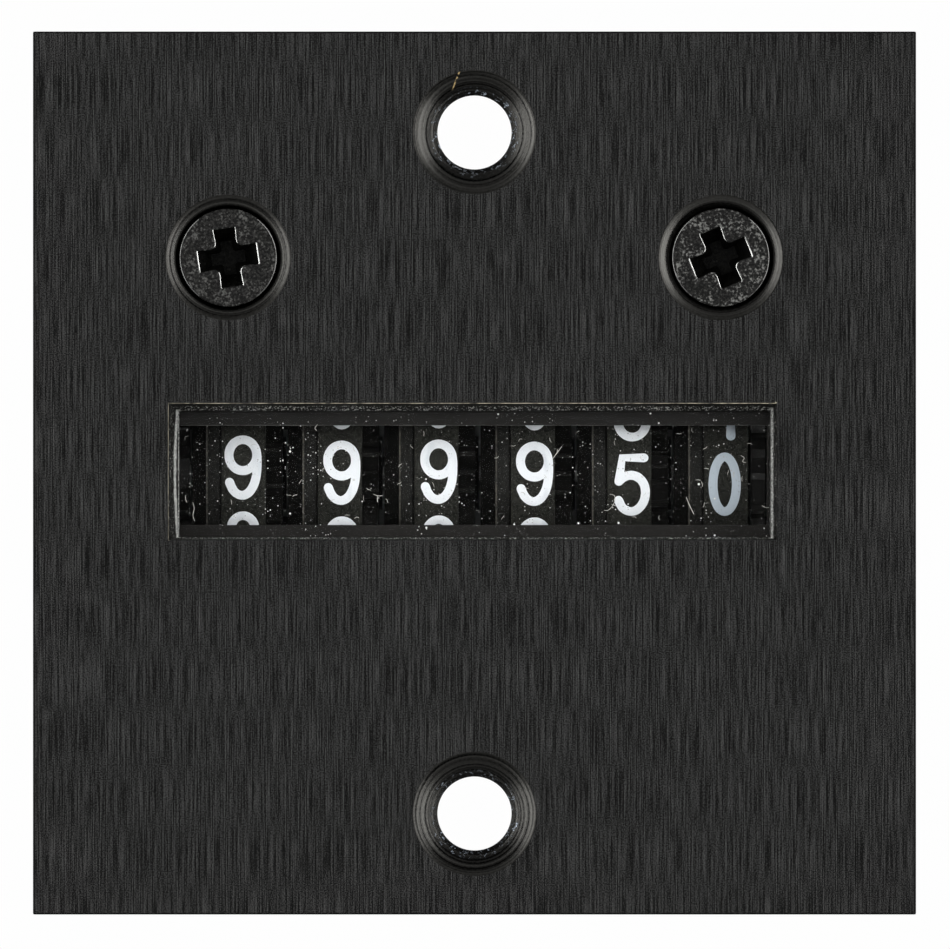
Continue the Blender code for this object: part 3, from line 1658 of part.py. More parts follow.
def axis_empty(name, place):
    """Empty on a joint's axis, which its pieces are parented to."""
    holder = bpy.data.objects.new(name, None)
    holder.location = place
    holder.empty_display_size = AXIS_MARK
    bpy.context.scene.collection.objects.link(holder)
    bpy.context.view_layer.update()
    return holder


def build():
    """Model every piece of the counter."""
    clear_scene()
    front_plate()
    plate_screw("plate_screw_left", -SCREW_SPACING / 2, LEFT_RECESS_TURN)
    plate_screw("plate_screw_right", SCREW_SPACING / 2, RIGHT_RECESS_TURN)
    front_case()
    window_lens()
    rear_cover()
    cover_screw("cover_screw_left", -cover_screw_x())
    cover_screw("cover_screw_right", cover_screw_x())
    mechanism_frame()
    bush("bush_left", -1, LEFT_BUSH_FLANGE_T)
    bush("bush_right", 1, RIGHT_BUSH_FLANGE_T)
    wheel_shaft()
    shaft_clip("shaft_clip_left", -1)
    shaft_clip("shaft_clip_right", 1)
    pinion_shaft()

    units = place_wheel(number_wheel(WHEEL_NAMES[0], 0), 0)
    ratchet = ratchet_wheel()
    units_axis = axis_empty("units_axis", (wheel_x(0), wheel_y(), 0.0))
    parent_to(units, units_axis)
    parent_to(ratchet, units_axis)
    first = place_wheel(number_wheel(WHEEL_NAMES[1], 1), 1)
    for order in range(2, len(WHEEL_NAMES)):
        copy = bpy.data.objects.new(WHEEL_NAMES[order], first.data)
        bpy.context.scene.collection.objects.link(copy)
        place_wheel(copy, order)

    pinion = place_pinion(transfer_pinion("transfer_pinion_1"), 0)
    for order in range(1, len(WHEEL_NAMES) - 1):
        copy = bpy.data.objects.new(f"transfer_pinion_{order + 1}", pinion.data)
        bpy.context.scene.collection.objects.link(copy)
        place_pinion(copy, order)

    armature_axis = axis_empty("armature_axis", (0.0, *hinge()))
    for piece in (armature(), verge(), verge_rivet()):
        parent_to(piece, armature_axis)
    armature_pin()
    return_spring()
    magnet_yoke()
    magnet_core()
    coil_bobbin()
    coil_winding()
    terminal("terminal_left", -1)
    terminal("terminal_right", 1)


build()
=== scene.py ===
"""Looks of a panel counter with six number wheels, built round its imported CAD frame.

Frame: X to the right, Y into the panel, Z up, in metres. The origin is the centre of the plate's rear
face. Shapes are made with Blender's modelling operators and finishes with procedural nodes.
"""
import json
import logging
import math
import random
from dataclasses import dataclass, field
from enum import Enum
from typing import Callable, Iterable, Optional, Protocol, Sequence, Union

import bpy
from mathutils import Matrix, Vector


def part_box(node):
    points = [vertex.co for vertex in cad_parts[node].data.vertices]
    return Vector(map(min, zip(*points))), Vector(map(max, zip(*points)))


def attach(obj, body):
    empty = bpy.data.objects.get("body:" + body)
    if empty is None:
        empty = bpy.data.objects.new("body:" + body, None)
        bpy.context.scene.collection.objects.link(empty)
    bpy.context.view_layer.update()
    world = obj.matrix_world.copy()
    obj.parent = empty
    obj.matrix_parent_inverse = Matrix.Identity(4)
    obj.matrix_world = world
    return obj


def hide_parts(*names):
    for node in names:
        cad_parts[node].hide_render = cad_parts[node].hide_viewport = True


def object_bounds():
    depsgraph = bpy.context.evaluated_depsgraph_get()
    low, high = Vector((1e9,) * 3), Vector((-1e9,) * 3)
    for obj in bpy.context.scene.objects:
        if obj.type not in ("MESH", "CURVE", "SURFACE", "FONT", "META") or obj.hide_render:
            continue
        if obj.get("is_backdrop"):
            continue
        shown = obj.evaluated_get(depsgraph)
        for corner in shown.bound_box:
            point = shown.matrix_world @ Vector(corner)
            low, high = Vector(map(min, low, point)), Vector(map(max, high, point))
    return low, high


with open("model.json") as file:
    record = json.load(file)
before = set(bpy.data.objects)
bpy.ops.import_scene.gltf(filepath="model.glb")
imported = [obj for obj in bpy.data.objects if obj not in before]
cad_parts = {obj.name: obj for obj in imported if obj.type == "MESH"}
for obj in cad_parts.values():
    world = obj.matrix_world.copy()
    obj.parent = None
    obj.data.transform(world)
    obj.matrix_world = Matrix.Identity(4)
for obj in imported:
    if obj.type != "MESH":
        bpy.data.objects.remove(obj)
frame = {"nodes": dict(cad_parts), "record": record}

CAD_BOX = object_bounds()
MM = 0.001
LOG = logging.getLogger("panel_counter")

Point = tuple[float, float]
Colour = tuple[float, float, float]
Number = Union[float, "Value"]
Piece = bpy.types.Object
Material = bpy.types.Material
Socket = bpy.types.NodeSocket

# Takes a face's centre and normal, or the two ends of an edge
Test = Callable[[Vector, Vector], bool]

# Distances below which two places count as one, in tests and when points are merged
TOUCH = 1e-6
MERGE = 1e-7

CURVE_STEPS = 12
OVAL_STEPS = 40
NUMERALS_ON_WHEEL = 10
STEP_ANGLE = 360.0 / NUMERALS_ON_WHEEL


class Axis(Enum):
    """Axis that a turned piece is turned about."""

    X = (1.0, 0.0, 0.0)
    Y = (0.0, 1.0, 0.0)


class Body(Enum):
    """CAD bodies that the pieces ride on."""

    COUNTER = "counter_body"
    UNITS = "units_wheel_body"
    TENS = "tens_wheel_body"
    HUNDREDS = "hundreds_wheel_body"
    THOUSANDS = "thousands_wheel_body"
    TEN_THOUSANDS = "ten_thousands_wheel_body"
    HUNDRED_THOUSANDS = "hundred_thousands_wheel_body"


# ---- shader graph


def joined(operation: str, swap: bool = False) -> Callable[["Value", Number], "Value"]:
    """Method of a Value that joins it to another number, which swap puts first."""

    def method(this: "Value", other: Number) -> "Value":
        """Result of the Math node."""
        return this.maths(operation, other, swap=swap)

    return method


class Value:
    """Number at a socket, with the operators that the finishes use."""

    def __init__(self, graph: "Graph", socket: Socket) -> None:
        """Wrap an output socket of a graph's node."""
        self.graph = graph
        self.socket = socket

    def maths(self, operation: str, *others: Number, swap: bool = False) -> "Value":
        """Add a Math node.

        Args:
            operation: name of the node's operation.
            others: the other operands.
            swap: True puts the other operand first.

        Returns:
            The node's result.
        """
        operands: list[Number] = [self, *others]
        if swap:
            operands.reverse()
        node = self.graph.node("ShaderNodeMath", {"operation": operation}, dict(enumerate(operands)))
        return Value(self.graph, node.outputs[0])

    __add__ = __radd__ = joined("ADD")
    __sub__ = joined("SUBTRACT")
    __rsub__ = joined("SUBTRACT", swap=True)
    __mul__ = __rmul__ = joined("MULTIPLY")
    __truediv__ = joined("DIVIDE")
    __pow__ = joined("POWER")
    most = joined("MAXIMUM")

    def __abs__(self) -> "Value":
        """Absolute value."""
        return self.maths("ABSOLUTE")

    def root(self) -> "Value":
        """Square root."""
        return self.maths("SQRT")

    def zigzag(self) -> "Value":
        """Straight runs from 0 to 1 and back."""
        return self.maths("PINGPONG", 1.0)

    def ramp(self, low: float, high: float) -> "Value":
        """Straight rise from 0 at low to 1 at high, held outside; high may be the lower number."""
        sockets = {"Value": self, "From Min": low, "From Max": high}
        node = self.graph.node("ShaderNodeMapRange", {"clamp": True}, sockets)
        return Value(self.graph, node.outputs[0])

    def within(self, centre: Number, half: float, soft: float = 0.5) -> "Value":
        """Band that is 1 near a centre and falls to 0 at half from it.

        Args:
            centre: middle of the band.
            half: distance at which the band ends.
            soft: share of the half that the fall takes.

        Returns:
            The band's mask.
        """
        return abs(self - centre).ramp(half, half * (1 - soft))


class Graph:
    """Node tree of one material, with a Principled shader and millimetre coordinates."""

    def __init__(self, name: str) -> None:
        """Start an empty material of that name."""
        self.material = bpy.data.materials.new(name)
        self.material.use_nodes = True
        self.tree = self.material.node_tree
        self.shader = self.tree.nodes["Principled BSDF"]
        place = self.node("ShaderNodeTexCoord")
        scale = (1 / MM, 1 / MM, 1 / MM)
        sockets = {"Vector": place.outputs["Object"], "Scale": scale}
        self.mm = self.node("ShaderNodeMapping", {}, sockets).outputs[0]

    def node(
        self, kind: str, settings: Optional[dict] = None, sockets: Optional[dict] = None
    ) -> bpy.types.Node:
        """Add a node.

        Args:
            kind: the node's type.
            settings: properties, set first.
            sockets: values or links of the inputs, by name or place.

        Returns:
            The node.
        """
        node = self.tree.nodes.new(kind)
        for key, setting in (settings or {}).items():
            setattr(node, key, setting)
        for key, given in (sockets or {}).items():
            self.feed(node.inputs[key], given)
        return node

    def feed(self, socket: Socket, given: object) -> None:
        """Link or set one input socket."""
        if isinstance(given, Value):
            given = given.socket
        if isinstance(given, Socket):
            self.tree.links.new(given, socket)
        elif socket.type == "RGBA" and len(given) == 3:
            socket.default_value = (*given, 1.0)
        else:
            socket.default_value = given

    def xyz(self) -> tuple[Value, Value, Value]:
        """Coordinates of a surface point in millimetres."""
        parts = self.node("ShaderNodeSeparateXYZ", {}, {0: self.mm})
        return tuple(Value(self, out) for out in parts.outputs)

    def stretched(self, scale: Sequence[float], offset: Sequence[float] = (0.0, 0.0, 0.0)) -> Socket:
        """Millimetre coordinates, scaled along each axis and moved."""
        sockets = {"Vector": self.mm, "Scale": tuple(scale), "Location": tuple(offset)}
        return self.node("ShaderNodeMapping", {}, sockets).outputs[0]

    def noise(
        self,
        scale: Union[float, Sequence[float]],
        detail: float = 2.0,
        roughness: float = 0.5,
        offset: Sequence[float] = (0.0, 0.0, 0.0),
    ) -> Value:
        """Noise about 0.5 with so many features per millimetre, everywhere or along each axis."""
        spread = (scale,) * 3 if isinstance(scale, float) else scale
        sockets = {
            "Vector": self.stretched(spread, offset),
            "Scale": 1.0,
            "Detail": detail,
            "Roughness": roughness,
        }
        return Value(self, self.node("ShaderNodeTexNoise", {}, sockets).outputs[0])

    def flecks(self, per_mm: float, share: float, radius: float, offset: float = 0.0) -> Value:
        """Small irregular specks.

        Args:
            per_mm: cells per millimetre, each with one speck or none.
            share: share of the cells that have one.
            radius: radius of the largest specks, in cells.
            offset: moves the pattern.

        Returns:
            The specks' mask.
        """
        spot = self.stretched((per_mm,) * 3, (offset,) * 3)
        cells = self.node("ShaderNodeTexVoronoi", {}, {"Vector": spot, "Scale": 1.0, "Randomness": 1.0})
        pick = Value(self, self.node("ShaderNodeSeparateColor", {}, {0: cells.outputs["Color"]}).outputs[0])
        size = pick.ramp(1 - share, 1.0) * radius
        return (size - Value(self, cells.outputs["Distance"])).ramp(0.0, radius * 0.35)

    def blend(self, factor: Number, first: object, second: object) -> Socket:
        """Mix of two colours."""
        settings = {"data_type": "RGBA"}
        return self.node("ShaderNodeMix", settings, {0: factor, 6: first, 7: second}).outputs[2]

    def shade(self, colour: object, level: Number) -> Socket:
        """Colour times a level."""
        sockets = {0: colour, "Scale": level}
        return self.node("ShaderNodeVectorMath", {"operation": "SCALE"}, sockets).outputs[0]

    def bump(self, height: Value, depth: float, strength: float = 1.0) -> Socket:
        """Normal from a height that spans so many millimetres."""
        sockets = {"Height": height, "Distance": depth * MM, "Strength": strength}
        return self.node("ShaderNodeBump", {}, sockets).outputs[0]

    def finish(self, **sockets: object) -> Material:
        """Feed the shader's sockets, named with underscores for spaces, and return the material."""
        for key, given in sockets.items():
            self.feed(self.shader.inputs[key.replace("_", " ")], given)
        return self.material


# ---- finishes


class Finish(Protocol):
    """What the palette asks of a finish."""

    @property
    def name(self) -> str:
        """Name of its material."""

    def make(self) -> Material:
        """Build the material."""


@dataclass(frozen=True)
class BrushedBlack:
    """Black anodised sheet, brushed along Z, with a few faint scratches."""

    name: str = "brushed_black"
    colour: Colour = (0.0153, 0.0153, 0.015)
    across: float = 15.0
    along: float = 0.3
    arcs: tuple[tuple[float, float, float, float], ...] = (
        (-6.5, 1.5, 13.4, 0.035),
        (9.0, -16.0, 11.6, 0.03),
        (-2.0, -9.0, 7.4, 0.028),
        (26.0, 14.0, 16.2, 0.03),
        (-24.0, 17.0, 9.3, 0.03),
    )

    def make(self) -> Material:
        """Build the material."""
        g = Graph(self.name)
        long = g.noise((self.across, 3.0, self.along), 0.0)
        short = g.noise((self.across, 3.0, self.along * 4), 0.0, 0.5, (3.0, 0.0, 5.0))
        grit = g.noise((self.across, 3.0, self.across), 0.0, 0.5, (1.0, 2.0, 8.0))
        wide = g.noise((3.1, 1.0, 0.16), 2.0, 0.55, (7.0, 0.0, 3.0))
        cloud = g.noise(0.12, 2.0, 0.5, (3.0, 1.0, 9.0))
        lines = (long - 0.5) * 4.5 + (short - 0.5) * 1.9
        level = lines + (grit - 0.5) * 4.6 + (wide - 0.5) * 0.7 + (cloud - 0.5) * 0.3 + 1.0
        x, _, z = g.xyz()
        marks: Value = g.flecks(1.3, 0.03, 0.06, 5.0) * 1.4
        for u, v, radius, width in self.arcs:
            away = ((x - u) ** 2.0 + (z - v) ** 2.0).root()
            broken = g.noise(0.35, 1.0, 0.5, (u, 0.0, v)).ramp(0.5, 0.62)
            marks = marks + away.within(radius, width) * broken * 0.55
        return g.finish(
            Base_Color=g.shade(self.colour, (level + marks).most(0.2)),
            Roughness=(wide - 0.5) * 0.16 + 0.34,
            Specular_IOR_Level=0.04,
            Normal=g.bump(long, 0.004, 0.5),
        )


@dataclass(frozen=True)
class TurnedBlack:
    """Black countersink flank with the rings of its cutter and burrs near the hole; the burrs are painted as
    pale bluish glints, partly real burrs and partly painted highlight.
    """

    name: str = "turned_black"
    colour: Colour = (0.0138, 0.0136, 0.0127)
    burr_depth: float = -1.62
    scratch_at: Point = (-0.82, 22.82)
    scratch_across: Point = (0.931, -0.365)
    scratch_middle: float = 22.3
    scratch_half: float = 0.62

    def make(self) -> Material:
        """Build the material."""
        g = Graph(self.name)
        x, y, z = g.xyz()
        rings = g.noise((0.05, 5.5, 0.05), 1.0, 0.7)
        spots = g.noise(7.0, 2.0, 0.7)
        edge = y.within(self.burr_depth, 0.5, 0.6)
        burrs = g.noise(4.4, 3.0, 0.75).ramp(0.57, 0.66) * edge
        coarse = g.noise(0.9, 1.0, 0.5, (5.0, 0.0, 2.0)).ramp(0.42, 0.62)
        level = (rings - 0.5) * 5.0 + (spots - 0.5) * 1.6 + 1.0
        dark = g.shade(self.colour, level.most(0.15))
        (u, v), (across_x, across_z) = self.scratch_at, self.scratch_across
        off = (x - u) * across_x + (z - v) * across_z
        scratch = off.within(0.0, 0.05) * z.within(self.scratch_middle, self.scratch_half, 0.2)
        gilt = scratch * spots.ramp(0.4, 0.55)
        # Burr specks get a pale bluish colour that is not metal, so they shine under any light: painted
        # highlight on real burrs.
        painted_burr_glints = burrs * (coarse * 0.8 + 0.2)
        marked = g.blend(painted_burr_glints, dark, (0.4, 0.46, 0.54))
        return g.finish(
            Base_Color=g.blend(gilt, marked, (0.42, 0.3, 0.13)),
            Roughness=(rings - 0.5) * 0.4 + (spots - 0.5) * 0.2 + 0.35,
            Metallic=1.0 - painted_burr_glints.most(gilt),
            Normal=g.bump(rings + burrs * 0.8 + spots * 0.2, 0.05, 0.8),
        )


@dataclass(frozen=True)
class ShearedEdge:
    """Punched wall of the window: rough, with a bright broken line where the sheet tore, painted near white;
    partly bare torn metal, partly painted highlight.
    """

    name: str = "sheared_edge_highlight"
    tear: float = -1.25
    bow: float = 0.7
    half_height: float = 3.7
    end: float = 16.72

    def make(self) -> Material:
        """Build the material."""
        g = Graph(self.name)
        x, y, z = g.xyz()
        grain = g.noise((9.0, 5.0, 9.0), 3.0, 0.7)
        coarse = g.noise(2.2, 2.0, 0.6, (4.0, 0.0, 1.0))
        tear = (z / self.half_height) ** 2.0 * self.bow + self.tear + (coarse - 0.5) * 0.5
        line = y.within(tear, 0.42, 0.5) * (grain.ramp(0.36, 0.62) * 0.7 + 0.3)
        second = y.within(-0.28, 0.16, 0.5) * grain.ramp(0.4, 0.6) * 0.9
        specks = grain.ramp(0.56, 0.64) * coarse.ramp(0.42, 0.58)
        broad = y.within(-1.1, 0.7, 0.6) * grain.ramp(0.4, 0.58)
        # Pale marks on the walls, painted near white: a curved line on the left wall, a broad band on the right
        # wall, chips on the top and bottom walls; partly bare metal, partly painted highlight.
        at_right = x.ramp(-1.0, 1.0)
        ends = (line.most(second) * (1.0 - at_right) + broad * at_right).most(specks * 0.6)
        chips = g.noise((8.0, 1.6, 8.0), 2.0, 0.75, (2.0, 0.0, 7.0)).ramp(0.55, 0.62)
        row = y.within(-1.3, 1.0, 0.4) * chips
        at_end = abs(x).ramp(self.end - 0.1, self.end)
        light = ends * at_end + row * (1.0 - at_end)
        return g.finish(
            Base_Color=g.blend(light, (0.004, 0.0037, 0.003), (0.85, 0.86, 0.82)),
            Roughness=0.55,
            Specular_IOR_Level=0.04,
            Normal=g.bump(grain, 0.05, 0.8),
        )


@dataclass(frozen=True)
class TornLineHighlight:
    """Bright hairline along a cut edge, painted pale: partly bare metal, partly painted highlight."""

    name: str = "torn_line_highlight"
    colour: Colour = (0.36, 0.33, 0.25)

    def make(self) -> Material:
        """Build the material."""
        g = Graph(self.name)
        broken = g.noise(1.6, 3.0, 0.7).ramp(0.36, 0.6)
        base = g.blend(broken, (0.04, 0.037, 0.03), self.colour)
        return g.finish(Base_Color=base, Roughness=0.45, Specular_IOR_Level=0.1)


@dataclass(frozen=True)
class BlackOxide:
    """Speckled black screw steel."""

    name: str = "black_oxide"
    colour: Colour = (0.0112, 0.0112, 0.0105)
    gloss: float = 0.08
    wear: float = 0.0

    def make(self) -> Material:
        """Build the material."""
        g = Graph(self.name)
        grain = g.noise(7.0, 1.0, 0.6)
        patch = g.noise(1.1, 2.0, 0.5, (2.0, 5.0, 1.0))
        dots = g.flecks(7.0, 0.4, 0.4) * 3.0
        level = (grain - 0.5) * 5.4 + (patch - 0.5) * 1.4 + 0.8 + dots
        rub = (grain * 0.5 + patch * 0.5).ramp(0.54, 0.66) * self.wear
        return g.finish(
            Base_Color=g.blend(rub, g.shade(self.colour, level.most(0.2)), (0.2, 0.2, 0.19)),
            Roughness=0.42 + (patch - 0.5) * 0.2,
            Specular_IOR_Level=self.gloss,
            Normal=g.bump(grain, 0.04, 0.8),
        )


@dataclass(frozen=True)
class WornEdgeHighlight:
    """Edge rubbed bright through the black, painted paler as well: partly worn metal, partly painted highlight.
    """

    name: str = "worn_edge_highlight"
    colour: Colour = (0.17, 0.17, 0.165)

    def make(self) -> Material:
        """Build the material."""
        g = Graph(self.name)
        grain = g.noise(3.0, 3.0, 0.7)
        rub = grain.ramp(0.34, 0.5)
        return g.finish(
            Base_Color=g.blend(rub, (0.05, 0.05, 0.047), self.colour),
            Roughness=0.24,
            Metallic=1.0,
            Normal=g.bump(grain, 0.004, 0.4),
        )


@dataclass(frozen=True)
class WheelPlastic:
    """Matte black plastic of the number wheels, warm grey with fine dust."""

    name: str = "wheel_plastic_matte"
    colour: Colour = (0.0165, 0.0168, 0.014)
    dust: float = 0.2
    gloss: float = 0.1

    def make(self) -> Material:
        """Build the material."""
        g = Graph(self.name)
        grain = g.noise(8.0, 1.0, 0.6)
        patch = g.noise(0.9, 2.0, 0.5)
        specks = g.flecks(4.0, self.dust, 0.22)
        level = (grain - 0.5) * 3.6 + (patch - 0.5) * 0.8 + 1.0
        return g.finish(
            Base_Color=g.blend(specks * 0.3, g.shade(self.colour, level.most(0.3)), (0.4, 0.4, 0.38)),
            Roughness=0.55,
            Specular_IOR_Level=self.gloss,
            Normal=g.bump(grain, 0.012, 0.5),
        )


@dataclass(frozen=True)
class NumberInk:
    """Opaque white ink with faint smudges."""

    name: str = "number_ink"
    colour: Colour = (0.88, 0.915, 0.945)
    smudge_colour: Colour = (0.58, 0.63, 0.68)

    def make(self) -> Material:
        """Build the material."""
        g = Graph(self.name)
        grain = g.noise(5.0, 3.0, 0.65)
        smudge = g.noise((1.1, 0.6, 0.5), 1.0, 0.5, (1.0, 0.0, 4.0)).ramp(0.6, 0.72)
        dirt = (grain.ramp(0.58, 0.78) * 0.35).most(smudge * 0.45)
        return g.finish(
            Base_Color=g.blend(dirt, self.colour, self.smudge_colour),
            Roughness=0.5,
            Specular_IOR_Level=0.08,
            Normal=g.bump(grain, 0.01, 0.4),
        )


@dataclass(frozen=True)
class MouldedBlack:
    """Moulded black plastic with a fine spark-eroded texture."""

    name: str = "moulded_black"
    colour: Colour = (0.006, 0.0054, 0.0044)
    texture: float = 0.012

    def make(self) -> Material:
        """Build the material."""
        g = Graph(self.name)
        grain = g.noise(7.0, 2.0, 0.6)
        flow = g.noise((0.14, 0.1, 0.3), 3.0, 0.5)
        level = (grain - 0.5) * 0.5 + (flow - 0.5) * 0.5 + 1.0
        return g.finish(
            Base_Color=g.shade(self.colour, level),
            Roughness=(flow - 0.5) * 0.2 + 0.46,
            Specular_IOR_Level=0.2,
            Normal=g.bump(grain, self.texture, 0.5),
        )


@dataclass(frozen=True)
class MouldedEdgeHighlight:
    """Moulded edge with a pale line along it: painted highlight."""

    name: str = "moulded_edge_highlight"
    colour: Colour = (0.2, 0.21, 0.2)

    def make(self) -> Material:
        """Build the material."""
        g = Graph(self.name)
        grain = g.noise((1.2, 3.0, 3.0), 3.0, 0.7).ramp(0.35, 0.65)
        base = g.blend(grain, (0.02, 0.02, 0.018), self.colour)
        return g.finish(Base_Color=base, Roughness=0.4, Specular_IOR_Level=0.2)


@dataclass(frozen=True)
class DustyPane:
    """Clear pane whose front carries dust."""

    name: str = "dusty_pane"
    body: float = 0.02

    def make(self) -> Material:
        """Build the material."""
        g = Graph(self.name)
        _, y, _ = g.xyz()
        front = y.ramp(0.5, 0.4)
        cloud = g.noise((0.25, 0.25, 0.4), 2.0, 0.5).ramp(0.36, 0.6)
        fine = g.flecks(7.0, 0.5, 0.36) * cloud
        large = g.flecks(2.2, 0.2, 0.2, 3.0)
        dust = (fine * 0.85).most(large) * front
        film = g.noise((0.8, 0.8, 0.5), 3.0, 0.6).ramp(0.5, 0.8) * 0.015
        powder = g.noise(6.0, 1.0, 0.6).ramp(0.56, 0.72) * (cloud * 0.8 + 0.2) * front
        powder = powder * 0.03
        dust = dust.most(powder)
        return g.finish(
            Base_Color=g.blend(dust.ramp(0.0, 0.7), (0.02, 0.02, 0.02), (0.8, 0.8, 0.78)),
            Roughness=dust * 0.5 + 0.05,
            Alpha=(dust * 0.9).most(film + self.body),
        )


@dataclass(frozen=True)
class Lint:
    """Pale fibre of dust."""

    name: str = "lint"
    colour: Colour = (0.55, 0.54, 0.5)

    def make(self) -> Material:
        """Build the material."""
        g = Graph(self.name)
        tone = g.noise(6.0, 2.0, 0.6)
        return g.finish(Base_Color=g.shade(self.colour, tone + 0.45), Roughness=0.8)


@dataclass(frozen=True)
class PlainMetal:
    """Metal of the inner parts with the lines of rolling or turning.

    Attributes:
        lines: features per millimetre along X, Y and Z.
    """

    name: str
    colour: Colour
    roughness: float = 0.3
    lines: tuple[float, float, float] = (0.4, 0.4, 6.0)

    def make(self) -> Material:
        """Build the material."""
        g = Graph(self.name)
        lines = g.noise(self.lines, 3.0, 0.6)
        cloud = g.noise(0.5, 2.0, 0.5)
        return g.finish(
            Base_Color=g.shade(self.colour, (lines - 0.5) * 0.4 + (cloud - 0.5) * 0.2 + 1.0),
            Roughness=(cloud - 0.5) * 0.2 + self.roughness,
            Metallic=1.0,
            Normal=g.bump(lines, 0.01, 0.4),
        )


@dataclass(frozen=True)
class PlainPlastic:
    """Plain moulded plastic of the inner parts."""

    name: str
    colour: Colour
    roughness: float = 0.42
    gloss: float = 0.5

    def make(self) -> Material:
        """Build the material."""
        g = Graph(self.name)
        grain = g.noise(6.0, 2.0, 0.6)
        cloud = g.noise(0.4, 2.0, 0.5)
        return g.finish(
            Base_Color=g.shade(self.colour, (cloud - 0.5) * 0.24 + (grain - 0.5) * 0.1 + 1.0),
            Roughness=(cloud - 0.5) * 0.16 + self.roughness,
            Specular_IOR_Level=self.gloss,
            Normal=g.bump(grain, 0.008, 0.4),
        )


@dataclass(frozen=True)
class WoundWire:
    """Enamelled wire, wound in close turns about Y, with painted shade that runs dark to bright across the
    turns.
    """

    name: str = "wound_wire"
    colour: Colour = (0.6, 0.22, 0.08)
    wire: float = 0.12

    def make(self) -> Material:
        """Build the material."""
        g = Graph(self.name)
        _, y, _ = g.xyz()
        # The colour darkens and brightens from wire to wire with the turns: painted shade of the round wire.
        turn = (y / self.wire).zigzag()
        cloud = g.noise((0.3, 2.0, 0.3), 2.0, 0.5)
        return g.finish(
            Base_Color=g.shade(self.colour, turn * 0.5 + (cloud - 0.5) * 0.4 + 0.6),
            Roughness=0.32,
            Metallic=0.85,
            Normal=g.bump(turn, 0.05, 0.8),
        )


@dataclass(frozen=True)
class PaleFloor:
    """Plain pale floor."""

    name: str = "pale_floor"

    def make(self) -> Material:
        """Build the material."""
        g = Graph(self.name)
        cloud = g.noise(0.004, 2.0, 0.5)
        tone = g.shade((0.06, 0.06, 0.06), cloud * 0.04 + 0.98)
        glow = {"Emission_Color": (1.0, 1.0, 0.99), "Emission_Strength": 0.91}
        return g.finish(Base_Color=tone, Roughness=0.9, **glow)


# ---- bench


